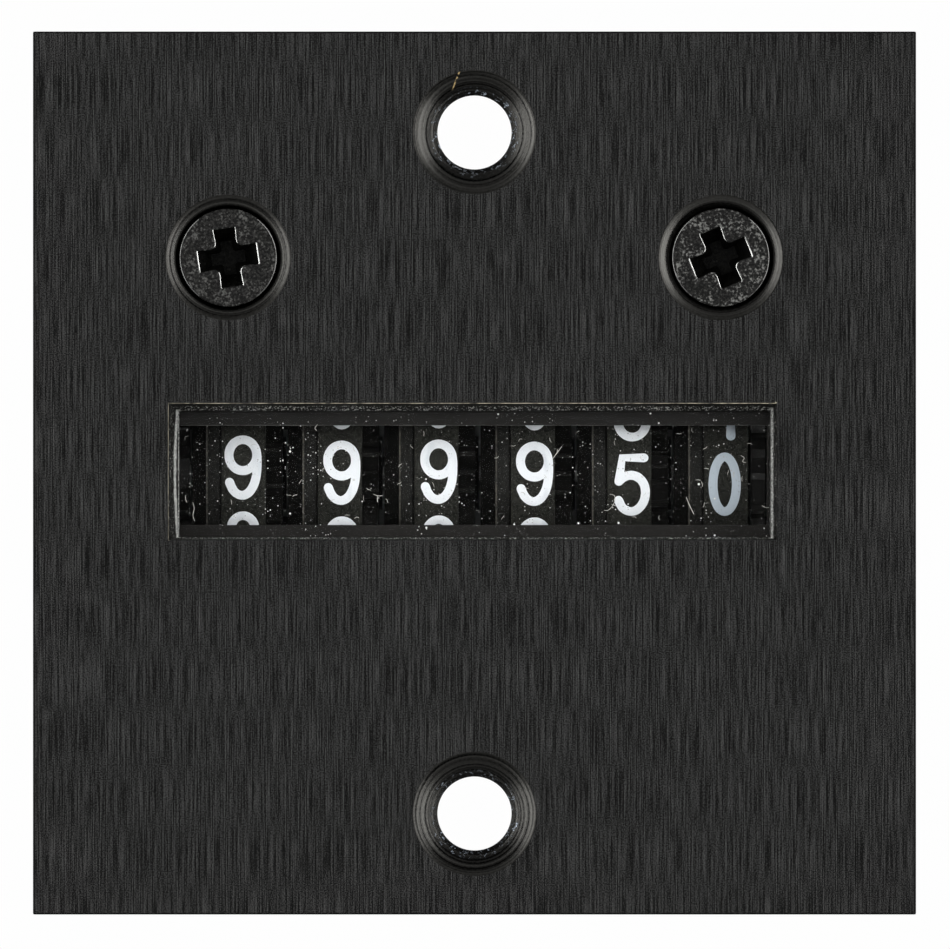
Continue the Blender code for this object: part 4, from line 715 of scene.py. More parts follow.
class Bench:
    """Blender's modelling operators, used as by hand."""

    @staticmethod
    def clear() -> None:
        """Leave edit mode and deselect everything."""
        if bpy.context.mode != "OBJECT":
            bpy.ops.object.mode_set(mode="OBJECT")
        bpy.ops.object.select_all(action="DESELECT")

    @classmethod
    def take(cls, obj: Piece) -> None:
        """Make an object the only selected one and the active one."""
        cls.clear()
        obj.select_set(True)
        bpy.context.view_layer.objects.active = obj

    @classmethod
    def named(cls, name: str) -> Piece:
        """Name the new active object and put its place into its mesh."""
        obj = bpy.context.active_object
        obj.name = name
        obj.data.name = name
        bpy.ops.object.transform_apply(location=True, rotation=True, scale=True)
        return obj

    @classmethod
    def block(cls, name: str, low: Sequence[float], high: Sequence[float]) -> Piece:
        """Cube primitive that spans two corners."""
        cls.clear()
        middle = [(a + b) / 2 for a, b in zip(low, high)]
        size = [b - a for a, b in zip(low, high)]
        bpy.ops.mesh.primitive_cube_add(size=1.0, location=middle, scale=size)
        return cls.named(name)

    @classmethod
    def ring(
        cls,
        name: str,
        axis: Axis,
        centre: Sequence[float],
        profile: Sequence[Point],
        segments: int = 96,
        closed: bool = False,
    ) -> Piece:
        """Turned piece: a circle primitive, extruded and resized from ring to ring.

        Args:
            name: name of the object.
            axis: axis that it is turned about.
            centre: a point on the axis.
            profile: distances along the axis and radii, in order.
            segments: sides of the circle.
            closed: True joins the last ring to the first.

        Returns:
            The object.
        """
        cls.clear()
        along = Vector(axis.value)
        turn = (0.0, math.pi / 2, 0.0) if axis is Axis.X else (math.pi / 2, 0.0, 0.0)
        start, radius = profile[0]
        spot = Vector(centre) + along * start
        bpy.ops.mesh.primitive_circle_add(vertices=segments, radius=radius, location=spot, rotation=turn)
        obj = cls.named(name)
        bpy.ops.object.mode_set(mode="EDIT")
        bpy.ops.mesh.select_mode(type="EDGE")
        bpy.ops.mesh.select_all(action="SELECT")
        if not closed:
            bpy.ops.mesh.edge_face_add()
        steps = list(profile[1:]) + ([profile[0]] if closed else [])
        for place, wide in steps:
            shift = along * (place - start)
            bpy.ops.mesh.extrude_region_move(TRANSFORM_OT_translate={"value": shift})
            grow = wide / radius
            scale = [1.0 if a else grow for a in axis.value]
            pivot = Vector(centre) + along * place
            bpy.ops.transform.resize(value=scale, center_override=pivot)
            start, radius = place, wide
        cls.heal()
        return obj

    @staticmethod
    def heal() -> None:
        """Merge doubles, turn the faces outwards and go back to object mode."""
        bpy.ops.mesh.select_all(action="SELECT")
        bpy.ops.mesh.remove_doubles(threshold=MERGE)
        bpy.ops.mesh.normals_make_consistent(inside=False)
        bpy.ops.object.mode_set(mode="OBJECT")

    @classmethod
    def pick(cls, obj: Piece, kind: str, test: Test) -> int:
        """Select faces or edges by their place and enter edit mode.

        Args:
            obj: object to edit.
            kind: FACE or EDGE.
            test: takes a face's centre and normal, or an edge's two ends.

        Returns:
            How many were selected.
        """
        cls.take(obj)
        mesh = obj.data
        for part in (*mesh.vertices, *mesh.edges, *mesh.polygons):
            part.select = False
        count = 0
        if kind == "FACE":
            for face in mesh.polygons:
                face.select = test(face.center, face.normal)
                count += face.select
        else:
            for edge in mesh.edges:
                a, b = (mesh.vertices[i].co for i in edge.vertices)
                edge.select = test(a, b)
                count += edge.select
        bpy.ops.object.mode_set(mode="EDIT")
        bpy.ops.mesh.select_mode(type=kind)
        return count

    @classmethod
    def bevel(cls, obj: Piece, width: float, segments: int, test: Test) -> None:
        """Bevel the edges that a test picks."""
        if cls.pick(obj, "EDGE", test):
            bpy.ops.mesh.bevel(offset=width, segments=segments, profile=0.5, affect="EDGES")
        bpy.ops.object.mode_set(mode="OBJECT")

    @classmethod
    def modify(cls, obj: Piece, kind: str, **settings: object) -> None:
        """Add a modifier and apply it."""
        cls.take(obj)
        modifier = obj.modifiers.new(kind.lower(), kind)
        for key, setting in settings.items():
            setattr(modifier, key, setting)
        bpy.ops.object.modifier_apply(modifier=modifier.name)

    @classmethod
    def combine(cls, obj: Piece, operation: str, others: Iterable[Piece]) -> None:
        """Cut others out of an object or unite them with it, and remove them."""
        for other in others:
            cls.modify(obj, "BOOLEAN", operation=operation, solver="EXACT", object=other)
            bpy.data.objects.remove(other, do_unlink=True)

    @classmethod
    def join(cls, pieces: Sequence[Piece]) -> Piece:
        """Put the meshes of several objects into the first one."""
        cls.take(pieces[0])
        for piece in pieces[1:]:
            piece.select_set(True)
        bpy.ops.object.join()
        return pieces[0]

    @classmethod
    def tube(
        cls,
        name: str,
        line: Sequence[tuple[Sequence[float], float]],
        half: float,
        sides: int,
        closed: bool = False,
    ) -> Piece:
        """Tube along a line, drawn as a curve and turned into a mesh.

        Args:
            name: name of the object.
            line: places along it, each with its share of the half width.
            half: half width.
            sides: steps of each quarter of the section.
            closed: True joins the last place to the first.

        Returns:
            The object.
        """
        curve = bpy.data.curves.new(name, "CURVE")
        curve.dimensions = "3D"
        curve.bevel_depth = half
        curve.bevel_resolution = sides
        curve.use_fill_caps = True
        spline = curve.splines.new("POLY")
        spline.use_cyclic_u = closed
        spline.points.add(len(line) - 1)
        for point, (place, share) in zip(spline.points, line):
            point.co = (*place, 1.0)
            point.radius = share
        obj = bpy.data.objects.new(name, curve)
        bpy.context.scene.collection.objects.link(obj)
        cls.take(obj)
        bpy.ops.object.convert(target="MESH")
        return obj

    @classmethod
    def smooth(cls, obj: Piece, angle: float = 32.0) -> Piece:
        """Shade smooth with large faces kept flat, and edges above an angle in degrees kept crisp."""
        cls.take(obj)
        bpy.ops.object.shade_smooth_by_angle(angle=math.radians(angle))
        cls.modify(obj, "WEIGHTED_NORMAL", keep_sharp=True, weight=100)
        return obj

    @classmethod
    def copy(cls, obj: Piece, name: str, move: Matrix = Matrix.Identity(4)) -> Piece:
        """Copy of an object with a mesh of its own, moved in its mesh."""
        twin = bpy.data.objects.new(name, obj.data.copy())
        twin.data.name = name
        twin.data.transform(move)
        bpy.context.scene.collection.objects.link(twin)
        return twin

    @classmethod
    def refined(cls, node: str, name: str, edge: float, segments: int = 2) -> Piece:
        """Copy of a CAD node, merged, with softened edges.

        Args:
            node: name of the CAD node, which the copy replaces.
            name: name of the copy.
            edge: width of the softened edges.
            segments: steps of a softened edge.

        Returns:
            The copy.
        """
        source = frame["nodes"][node]
        twin = cls.copy(source, name, source.matrix_world)
        cls.take(twin)
        bpy.ops.object.mode_set(mode="EDIT")
        bpy.ops.mesh.select_all(action="SELECT")
        bpy.ops.mesh.remove_doubles(threshold=TOUCH)
        bpy.ops.mesh.dissolve_limited(angle_limit=math.radians(1.0))
        bpy.ops.object.mode_set(mode="OBJECT")
        cls.modify(
            twin,
            "BEVEL",
            width=edge,
            segments=segments,
            limit_method="ANGLE",
            angle_limit=math.radians(35.0),
            use_clamp_overlap=True,
        )
        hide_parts(node)
        return cls.smooth(twin)

    @staticmethod
    def paint(obj: Piece, *materials: Material) -> None:
        """Give an object its materials, the first one on every face."""
        obj.data.materials.clear()
        for material in materials:
            obj.data.materials.append(material)

    @staticmethod
    def paint_where(obj: Piece, index: int, test: Test) -> None:
        """Put a material on the faces that a test of centre and normal picks."""
        for face in obj.data.polygons:
            if test(face.center, face.normal):
                face.material_index = index


@dataclass
class Palette:
    """Materials of all the finishes, each made once."""

    made: dict[str, Material] = field(default_factory=dict)

    def __getitem__(self, finish: Finish) -> Material:
        """Material of a finish."""
        if finish.name not in self.made:
            self.made[finish.name] = finish.make()
        return self.made[finish.name]


def settle(piece: Piece, body: Body, slot: str) -> None:
    """Let a finished piece ride on its body and report it."""
    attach(piece, body.value)
    LOG.info("%s: %d faces on %s", piece.name, len(piece.data.polygons), body.value)


# ---- front plate


@dataclass
class FacePlate:
    """Square plate with a punched window and countersunk holes."""

    palette: Palette
    edge: float = 0.1 * MM
    hole_z: float = 19.3 * MM
    hole_r: float = 2.1 * MM
    hole_sink: float = 3.48 * MM
    screw_x: float = 13.95 * MM
    screw_z: float = 12.2 * MM
    screw_hole_r: float = 1.8 * MM
    screw_sink: float = 3.52 * MM
    window_front: tuple[float, float, float, float] = (-17.33 * MM, 17.11 * MM, -3.79 * MM, 3.93 * MM)
    window_rear: tuple[float, float, float, float] = (-16.72 * MM, 16.72 * MM, -3.62 * MM, 3.46 * MM)
    over: float = 1.0 * MM
    burr: float = 0.035 * MM
    inner_reach: float = 24.0 * MM
    window_reach: float = 4.2 * MM
    segments: int = 128

    def countersink(self, x: float, z: float, sink: float, hole: float, front: float) -> Piece:
        """Cutter of a countersunk hole.

        Args:
            x: place of the hole.
            z: place of the hole.
            sink: radius at the plate's front.
            hole: radius of the hole.
            front: place of the plate's front.

        Returns:
            The cutter.
        """
        profile = [(front - self.over, sink + self.over), (front + sink - hole, hole), (self.over, hole)]
        return Bench.ring("countersink", Axis.Y, (x, 0.0, z), profile, self.segments)

    def window(self, front: float) -> Piece:
        """Cutter of the window, whose walls slope inwards."""
        reach = 1 + self.over / abs(front)
        mouth = [b + (a - b) * reach for a, b in zip(self.window_front, self.window_rear)]
        back = [a + (b - a) * reach for a, b in zip(self.window_front, self.window_rear)]
        tool = Bench.block("window", (mouth[0], front - self.over, mouth[2]), (mouth[1], self.over, mouth[3]))
        Bench.pick(tool, "FACE", lambda centre, normal: normal.y > 0.9)
        old = Vector(((mouth[0] + mouth[1]) / 2, self.over, (mouth[2] + mouth[3]) / 2))
        new = Vector(((back[0] + back[1]) / 2, self.over, (back[2] + back[3]) / 2))
        wide = (back[1] - back[0]) / (mouth[1] - mouth[0])
        tall = (back[3] - back[2]) / (mouth[3] - mouth[2])
        bpy.ops.transform.resize(value=(wide, 1.0, tall), center_override=old)
        bpy.ops.transform.translate(value=new - old)
        bpy.ops.object.mode_set(mode="OBJECT")
        return tool

    def build(self) -> Piece:
        """Make the plate."""
        low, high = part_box("front_plate")
        plate = Bench.block("face_plate", low, high)
        front = low[1]
        half = high[0] - TOUCH
        at_front = lambda a, b: max(a.y, b.y) < front + TOUCH
        Bench.bevel(plate, self.edge, 2, at_front)
        upright = lambda a, b: abs(a.y - b.y) > MM and min(abs(a.x), abs(a.z)) > half - self.edge * 2
        Bench.bevel(plate, self.edge, 2, upright)
        holes = [(0.0, z, self.hole_sink, self.hole_r) for z in (self.hole_z, -self.hole_z)]
        for x in (-self.screw_x, self.screw_x):
            holes.append((x, self.screw_z, self.screw_sink, self.screw_hole_r))
        tools = [self.window(front), *(self.countersink(*hole, front) for hole in holes)]
        Bench.combine(plate, "DIFFERENCE", tools)
        Bench.bevel(plate, self.burr, 1, self.inner_edge(front))
        return Bench.smooth(plate, 30.0)

    def inner_edge(self, front: float) -> Test:
        """Test for the edges of the window and the holes in the plate's front."""

        def inner(a: Vector, b: Vector) -> bool:
            level = max(abs(a.y - front), abs(b.y - front)) < TOUCH
            return level and max(abs(a.x), abs(a.z)) < self.inner_reach

        return inner

    def dress(self, plate: Piece) -> None:
        """Give the plate its finishes."""
        low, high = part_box("front_plate")
        # Darker, duller black for the plate's rim bevels: painted shade.
        rim_shade = PlainPlastic("plate_rim_painted_shade", (0.004, 0.004, 0.004), 0.8, 0.03)
        finishes = (BrushedBlack(), TurnedBlack(), ShearedEdge(), TornLineHighlight(), rim_shade)
        Bench.paint(plate, *(self.palette[finish] for finish in finishes))

        def inside(centre: Vector) -> bool:
            return low[0] + MM < centre.x < high[0] - MM and low[2] + MM < centre.z < high[2] - MM

        def on_window(centre: Vector) -> bool:
            return abs(centre.z) < self.window_reach

        # The bevels round the plate's outer rim get the darker, duller black: a painted dark outline, which is
        # painted shade.
        rim = high[0] - 2 * self.edge
        Bench.paint_where(plate, 4, lambda c, n: max(abs(c.x), abs(c.z)) > rim and 0.05 < abs(n.y) < 0.99)
        Bench.paint_where(plate, 1, lambda c, n: abs(n.y) < 0.99 and inside(c) and not on_window(c))
        Bench.paint_where(plate, 2, lambda c, n: abs(n.y) < 0.6 and inside(c) and on_window(c))
        left, _, _, top = self.window_front

        # Only the top and left edges of the window get the pale hairline: painted highlight on bare metal.
        def hairline_highlight(centre: Vector, normal: Vector) -> bool:
            near = min(abs(centre.z - top), abs(centre.x - left)) < 2 * self.burr
            return 0.2 < abs(normal.y) < 0.98 and near and on_window(centre)

        Bench.paint_where(plate, 3, hairline_highlight)

    def make(self) -> None:
        """Build, dress and settle the plate."""
        plate = self.build()
        self.dress(plate)
        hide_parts("front_plate")
        settle(plate, Body.COUNTER, "black_anodised")


# ---- screws


@dataclass
class CrossScrew:
    """Screw with a cross recess, turned about Y.

    Attributes:
        node: CAD node that it replaces.
        profile: places along Y from the head's face, and radii.
        inward: 1 if the screw points along +Y, -1 along -Y.
        span: width over the recess.
        wing: width of a wing.
        depth: depth of the recess.
        turn: turn of the recess about Y.
        taper: width of the recess's floor, as a share.
        flare: width of a wing's tip, as a share.
        edge: rounding of the recess's rim.
        lead: how far the recess's cutter starts before the face.
        corner_share: rounding of its inner corners, in wing widths.
        tip_share: rounding of its tips, in wing widths.
        edge_highlight_depth: how deep the pale edges reach, which are partly worn metal and partly painted
            highlight.
        skin: how deep the face's finish reaches.
    """

    palette: Palette
    node: str
    name: str
    slot: str
    finishes: tuple[Finish, Finish, Finish]
    centre: tuple[float, float, float]
    profile: tuple[Point, ...]
    inward: float
    span: float
    wing: float
    depth: float
    turn: float = 0.0
    taper: float = 0.52
    flare: float = 1.12
    edge: float = 0.075 * MM
    lead: float = 0.3 * MM
    corner_share: float = 0.36
    tip_share: float = 0.06
    edge_highlight_depth: float = 0.09 * MM
    skin: float = 0.06 * MM

    def recess(self) -> Piece:
        """Cutter of the cross recess."""
        x, face, z = self.centre
        half, far = self.wing / 2, self.span / 2
        start = face - self.inward * self.lead
        end = face + self.inward * self.depth
        tool = Bench.block("recess", (-half, min(start, end), -half), (half, max(start, end), half))
        for way in ((1, 0, 0), (-1, 0, 0), (0, 0, 1), (0, 0, -1)):
            side = Vector(way)
            near = lambda c, n: n.dot(side) > 0.9 and max(abs(c.x), abs(c.z)) < half * 1.1
            Bench.pick(tool, "FACE", near)
            bpy.ops.mesh.extrude_region_move(TRANSFORM_OT_translate={"value": side * (far - half)})
            wider = (self.flare if side.z else 1.0, 1.0, self.flare if side.x else 1.0)
            bpy.ops.transform.resize(value=wider, center_override=side * far)
            bpy.ops.object.mode_set(mode="OBJECT")
        upright = lambda a, b: abs(a.y - b.y) > 0.1 * MM
        corner = lambda a, b: upright(a, b) and all(abs(abs(u) - half) < TOUCH for u in (a.x, a.z))
        Bench.bevel(tool, self.corner_share * self.wing, 5, corner)
        tip = lambda a, b: upright(a, b) and max(abs(a.x), abs(a.z)) > far - TOUCH
        Bench.bevel(tool, self.tip_share * self.wing, 2, tip)
        Bench.pick(tool, "FACE", lambda c, n: n.y * self.inward > 0.9)
        bpy.ops.transform.resize(value=(self.taper, 1.0, self.taper), center_override=(0.0, end, 0.0))
        Bench.heal()
        tool.data.transform(Matrix.Translation((x, 0.0, z)) @ Matrix.Rotation(self.turn, 4, "Y"))
        return tool

    def build(self) -> Piece:
        """Make the screw."""
        face = self.centre[1]
        profile = [(self.inward * along, radius) for along, radius in self.profile]
        screw = Bench.ring(self.name, Axis.Y, self.centre, profile, 96)
        Bench.combine(screw, "DIFFERENCE", [self.recess()])
        x, _, z = self.centre
        far = self.span / 2 * 1.05

        def rim(a: Vector, b: Vector) -> bool:
            level = max(abs(a.y - face), abs(b.y - face)) < TOUCH
            return level and max(math.hypot(p.x - x, p.z - z) for p in (a, b)) < far

        Bench.bevel(screw, self.edge, 4, rim)
        return Bench.smooth(screw, 28.0)

    def dress(self, screw: Piece) -> None:
        """Give the screw its finishes: the face, the pale edges, which are partly worn metal and partly painted
        highlight, and the painted shade inside the recess.
        """
        x, face, z = self.centre
        Bench.paint(screw, *(self.palette[finish] for finish in self.finishes))

        # Pale edges go only on faces that turn sideways, where the side lamps catch them: painted highlight on
        # worn metal.
        def edge_highlight(centre: Vector, normal: Vector) -> bool:
            shallow = abs(centre.y - face) < self.edge_highlight_depth
            slanted = 0.2 < abs(normal.y) < 0.97
            sideways = abs(normal.x) > 0.6 * math.hypot(normal.x, normal.z)
            return shallow and slanted and sideways

        # Faces inside the recess get a much darker oxide: painted shade.
        def deep(centre: Vector, normal: Vector) -> bool:
            reach = self.inward * (centre.y - face)
            near = math.hypot(centre.x - x, centre.z - z) < self.span / 2
            return self.skin < reach < self.depth * 1.1 and near

        Bench.paint_where(screw, 2, deep)
        Bench.paint_where(screw, 1, edge_highlight)

    def make(self) -> None:
        """Build, dress and settle the screw."""
        screw = self.build()
        self.dress(screw)
        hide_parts(self.node)
        settle(screw, Body.COUNTER, self.slot)


# ---- number wheels


def between(p: float, q: float, r: float, s: float, t: float) -> float:
    """Ordinate at a share of the way from the second to the third of four points of a curve."""
    rise = (r - p) * t + (2 * p - 5 * q + 4 * r - s) * t * t + (3 * q - p - 3 * r + s) * t**3
    return 0.5 * (2 * q + rise)


def along(points: Sequence[Point], step: float) -> list[Point]:
    """Points at even steps along a smooth curve through given points.

    Args:
        points: points that the curve passes through.
        step: distance between the results.

    Returns:
        The points.
    """
    ends = [points[0], *points, points[-1]]
    fine: list[Point] = []
    for four in zip(ends, ends[1:], ends[2:], ends[3:]):
        for k in range(CURVE_STEPS):
            fine.append(tuple(between(*ordinates, k / CURVE_STEPS) for ordinates in zip(*four)))
    fine.append(points[-1])
    result = [fine[0]]
    gone = 0.0
    for a, b in zip(fine, fine[1:]):
        gone += math.dist(a, b)
        if gone >= step:
            result.append(b)
            gone = 0.0
    if math.dist(result[-1], fine[-1]) > step * 0.3:
        result.append(fine[-1])
    return result


def oval(u: float, v: float, half_w: float, half_h: float) -> tuple[Point, ...]:
    """Closed ellipse about a centre."""
    angles = [2 * math.pi * k / OVAL_STEPS for k in range(OVAL_STEPS)]
    return tuple((u + half_w * math.cos(a), v + half_h * math.sin(a)) for a in angles)


@dataclass(frozen=True)
class Stroke:
    """Pen stroke of a numeral, in millimetres about the numeral's middle."""

    points: tuple[Point, ...]
    closed: bool = False
    sharp: bool = False


NINE_TAIL = (
    (0.79, 0.74), (0.8, 0.3), (0.79, -0.1), (0.74, -0.55), (0.6, -1.0), (0.36, -1.38),
    (0.04, -1.57), (-0.3, -1.51), (-0.58, -1.24), (-0.76, -0.84),
)
FIVE_BOWL = (
    (-0.74, 0.22), (-0.5, 0.42), (-0.2, 0.54), (0.14, 0.52), (0.46, 0.34), (0.68, 0.02),
    (0.76, -0.42), (0.68, -0.9), (0.44, -1.3), (0.1, -1.53), (-0.24, -1.51), (-0.56, -1.3),
    (-0.76, -0.9),
)
TWO_NECK = (
    (-0.74, 0.85), (-0.62, 1.28), (-0.28, 1.54), (0.16, 1.54), (0.56, 1.26), (0.7, 0.84),
    (0.58, 0.4), (0.2, -0.2), (-0.3, -0.9), (-0.74, -1.54),
)
THREE_TOP = (
    (-0.7, 1.02), (-0.5, 1.4), (-0.1, 1.57), (0.34, 1.46), (0.6, 1.14), (0.6, 0.72), (0.36, 0.36),
    (-0.06, 0.2),
)
THREE_BOWL = (
    (-0.06, 0.2), (0.42, 0.06), (0.72, -0.3), (0.76, -0.76), (0.56, -1.24), (0.16, -1.53),
    (-0.28, -1.53), (-0.62, -1.26), (-0.78, -0.86),
)
NUMERALS: dict[int, tuple[Stroke, ...]] = {
    0: (Stroke(oval(0.0, 0.0, 0.665, 1.575), closed=True),),
    1: (Stroke(((0.35, -1.56), (0.35, 1.56), (-0.2, 1.1)), sharp=True),),
    2: (Stroke(TWO_NECK), Stroke(((-0.74, -1.56), (0.76, -1.56)), sharp=True)),
    3: (Stroke(THREE_TOP), Stroke(THREE_BOWL)),
    4: (Stroke(((0.36, -1.56), (0.36, 1.56), (-0.8, -0.62), (0.82, -0.62)), sharp=True),),
    5: (Stroke(((0.66, 1.54), (-0.555, 1.54), (-0.74, 0.22)), sharp=True), Stroke(FIVE_BOWL)),
    6: (
        Stroke(oval(0.01, -0.72, 0.79, 0.89), closed=True),
        Stroke(tuple((-u, -v) for u, v in NINE_TAIL)),
    ),
    7: (Stroke(((-0.74, 1.54), (0.76, 1.54), (-0.2, -1.56)), sharp=True),),
    8: (Stroke(oval(0.0, 0.83, 0.665, 0.75), closed=True), Stroke(oval(0.0, -0.76, 0.8, 0.83), closed=True)),
    9: (Stroke(oval(-0.01, 0.72, 0.79, 0.89), closed=True), Stroke(NINE_TAIL)),
}


@dataclass
class NumberPress:
    """Prints numerals as thin crowned ink, laid flat and then wrapped on a wheel."""

    pen: float = 0.268 * MM
    height: float = 0.028 * MM
    wobble: float = 0.022
    seed: int = 7
    flat: dict[int, Piece] = field(default_factory=dict)

    def stroke(self, stroke: Stroke, draw: random.Random) -> Piece:
        """Tube along a pen stroke, with round ends and a slightly uneven edge."""
        points = stroke.points
        if not stroke.sharp and not stroke.closed:
            points = along(points, 0.1)
        places = [(Vector((u * MM, 0.0, v * MM)), 1.0) for u, v in points]
        if not stroke.closed:
            places = self.rounded(places)
        sway = self.wobble
        line = [(place, wide * (1 + draw.uniform(-sway, sway))) for place, wide in places]
        obj = Bench.tube("stroke", line, self.pen, 3, stroke.closed)
        bpy.ops.object.mode_set(mode="EDIT")
        bpy.ops.mesh.select_all(action="SELECT")
        flat = (1.0, self.height / self.pen, 1.0)
        bpy.ops.transform.resize(value=flat, center_override=(0.0, 0.0, 0.0))
        Bench.heal()
        return obj

    def rounded(self, places: list[tuple[Vector, float]]) -> list[tuple[Vector, float]]:
        """Add the shrinking rings that round off both ends of a stroke."""
        caps = []
        for end, inner in ((places[0][0], places[1][0]), (places[-1][0], places[-2][0])):
            out = (end - inner).normalized() * self.pen
            angles = [math.radians(a) for a in (20, 40, 58, 74, 86)]
            caps.append([(end + out * math.sin(a), math.cos(a)) for a in angles])
        return list(reversed(caps[0])) + places + caps[1]

    def numeral(self, digit: int) -> Piece:
        """Flat numeral in one piece, sliced so that it can bend."""
        if digit in self.flat:
            return self.flat[digit]
        draw = random.Random(self.seed + digit)
        strokes = [self.stroke(one, draw) for one in NUMERALS[digit]]
        shape = strokes[0]
        Bench.combine(shape, "UNION", strokes[1:])
        shape.name = f"numeral_{digit}"
        Bench.take(shape)
        bpy.ops.object.mode_set(mode="EDIT")
        for k in range(-6, 7):
            bpy.ops.mesh.select_all(action="SELECT")
            bpy.ops.mesh.bisect(plane_co=(0.0, 0.0, k * 0.28 * MM), plane_no=(0.0, 0.0, 1.0))
        Bench.heal()
        self.flat[digit] = shape
        return shape

    def wrap(self, digit: int, name: str, centre: Vector, radius: float, angle: float) -> Piece:
        """Copy of a numeral, wrapped on a wheel.

        Args:
            digit: which numeral.
            name: name of the copy.
            centre: middle of the wheel's band, on its axis.
            radius: radius of the band.
            angle: angle of the numeral's middle above the horizontal, at the front.

        Returns:
            The copy.
        """
        twin = Bench.copy(self.numeral(digit), name)
        for vertex in twin.data.vertices:
            x, out, z = vertex.co
            turn = angle + z / radius
            reach = radius - out
            vertex.co = centre + Vector((x, -reach * math.cos(turn), reach * math.sin(turn)))
        return twin

    def put_away(self) -> None:
        """Remove the flat numerals."""
        for shape in self.flat.values():
            bpy.data.objects.remove(shape, do_unlink=True)


@dataclass
class NumberWheel:
    """Number wheel: the CAD wheel refined, with a fine band and numerals over it.

    Attributes:
        node: CAD node that it replaces.
        body: body that it rides on.
        reading: numeral at the window.
        lift: angle of that numeral above the horizontal, in degrees.
        aside: offset of the numerals from the band's middle.
        ink: finish of the numerals.
        band, flange, carry, groove: widths of these parts of the wheel.
        wall: thickness of the fine tubes, whose corners are soft and whose band has lips.
        rubbed: width of the flange's pale corner, which is painted highlight.
        core_edge: rounding of the CAD wheel's edges.
        proud: how far the tubes stand off the CAD wheel.
        unturned: wheel whose box gives the radius.
    """

    palette: Palette
    press: NumberPress
    node: str
    body: Body
    reading: int
    lift: float
    aside: float
    ink: NumberInk
    band: float = 2.5 * MM
    flange: float = 0.88 * MM
    carry: float = 0.85 * MM
    groove: float = 0.13 * MM
    wall: float = 0.09 * MM
    soft: float = 0.05 * MM
    lip: float = 0.012 * MM
    rubbed: float = 0.09 * MM
    core_edge: float = 0.045 * MM
    proud: float = 0.006 * MM
    unturned: str = "ten_thousands_wheel"

    def middle(self) -> Vector:
        """Middle of the band, on the wheel's axis."""
        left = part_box(self.node)[0][0] + self.carry + self.flange + self.band / 2
        low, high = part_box("wheel_shaft")
        return Vector((left, (low[1] + high[1]) / 2, (low[2] + high[2]) / 2))

    def radius(self) -> float:
        """Outside radius of the wheels, from the one that is not turned."""
        low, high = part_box(self.unturned)
        return (high[1] - low[1]) / 2 + self.proud

    def sleeve(self, name: str, left: float, right: float, lip: float) -> Piece:
        """Fine tube round the wheel, with soft edges and a raised lip at each end.

        Args:
            name: name of the piece.
            left: its left end, from the band's middle.
            right: its right end.
            lip: height of the lip.

        Returns:
            The piece.
        """
        outer, soft = self.radius(), self.soft
        steps = (
            (0.0, -self.wall),
            (0.0, -soft * 0.4),
            (soft * 0.4, lip),
            (soft * 1.2, lip),
            (soft * 1.8, 0.0),
        )
        profile = [(left + inwards, outer + rise) for inwards, rise in steps]
        profile += [(right - inwards, outer + rise) for inwards, rise in reversed(steps)]
        piece = Bench.ring(name, Axis.X, self.middle(), profile, 160, closed=True)
        return Bench.smooth(piece, 40.0)

    def make(self) -> None:
        """Build, dress and settle the wheel, its band and its numerals."""
        name = self.node.replace("_wheel", "")
        plastic = self.palette[WheelPlastic()]
        core = Bench.refined(self.node, f"{name}_wheel_core", self.core_edge)
        # The core, which shows between the sleeves and at the wheel's sides, gets a much darker copy of the
        # wheel plastic: painted shade.
        dark = WheelPlastic("wheel_plastic_painted_shade", (0.004, 0.004, 0.0035), 0.12, 0.05)
        Bench.paint(core, self.palette[dark])
        settle(core, self.body, "wheel_plastic")
        half = self.band / 2
        band = self.sleeve(f"{name}_number_band", -half, half, self.lip)
        Bench.paint(band, plastic)
        settle(band, self.body, "wheel_plastic")
        left = -half - self.flange
        rim = self.sleeve(f"{name}_flange_rim", left, -half - self.groove, 0.0)
        # The flange rim gets a darker copy of the band's plastic: painted shade.
        flange = WheelPlastic("wheel_plastic_flange_painted_shade", (0.009, 0.009, 0.008), 0.16)
        edge_highlight = MouldedEdgeHighlight("flange_edge_highlight", (0.085, 0.08, 0.066))
        Bench.paint(rim, self.palette[flange], self.palette[edge_highlight])
        # A pale line along the flange's left corner: painted highlight.
        corner = self.middle().x + left + self.rubbed
        Bench.paint_where(rim, 1, lambda c, n: c.x < corner and n.x > -0.98)
        settle(rim, self.body, "wheel_plastic")
        centre = self.middle() + Vector((self.aside, 0.0, 0.0))
        copies = []
        half_turn = NUMERALS_ON_WHEEL // 2
        for digit in range(NUMERALS_ON_WHEEL):
            steps = (digit - self.reading + half_turn) % NUMERALS_ON_WHEEL - half_turn
            angle = math.radians(self.lift + STEP_ANGLE * steps)
            copies.append(self.press.wrap(digit, f"{name}_numbers", centre, self.radius(), angle))
        numbers = Bench.smooth(Bench.join(copies), 60.0)
        Bench.paint(numbers, self.palette[self.ink])
        settle(numbers, self.body, "wheel_plastic")


# ---- pane and dust


@dataclass
class Pane:
    """Clear pane behind the plate's window."""

    palette: Palette
    corner: float = 0.6 * MM
    edge: float = 0.12 * MM

    def make(self) -> None:
        """Build, dress and settle the pane."""
        low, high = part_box("window_lens")
        pane = Bench.block("window_pane", low, high)
        deep = lambda a, b: abs(a.y - b.y) > 0.5 * MM
        Bench.bevel(pane, self.corner, 6, deep)
        rim = lambda a, b: abs(a.y - b.y) < MERGE
        Bench.bevel(pane, self.edge, 1, rim)
        Bench.smooth(pane, 30.0)
        Bench.paint(pane, self.palette[DustyPane()])
        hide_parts("window_lens")
        settle(pane, Body.COUNTER, "clear_lens")


@dataclass(frozen=True)
class Fibre:
    """Piece of lint on the pane: its line in millimetres and its half width."""

    points: tuple[Point, ...]
    half: float = 0.022


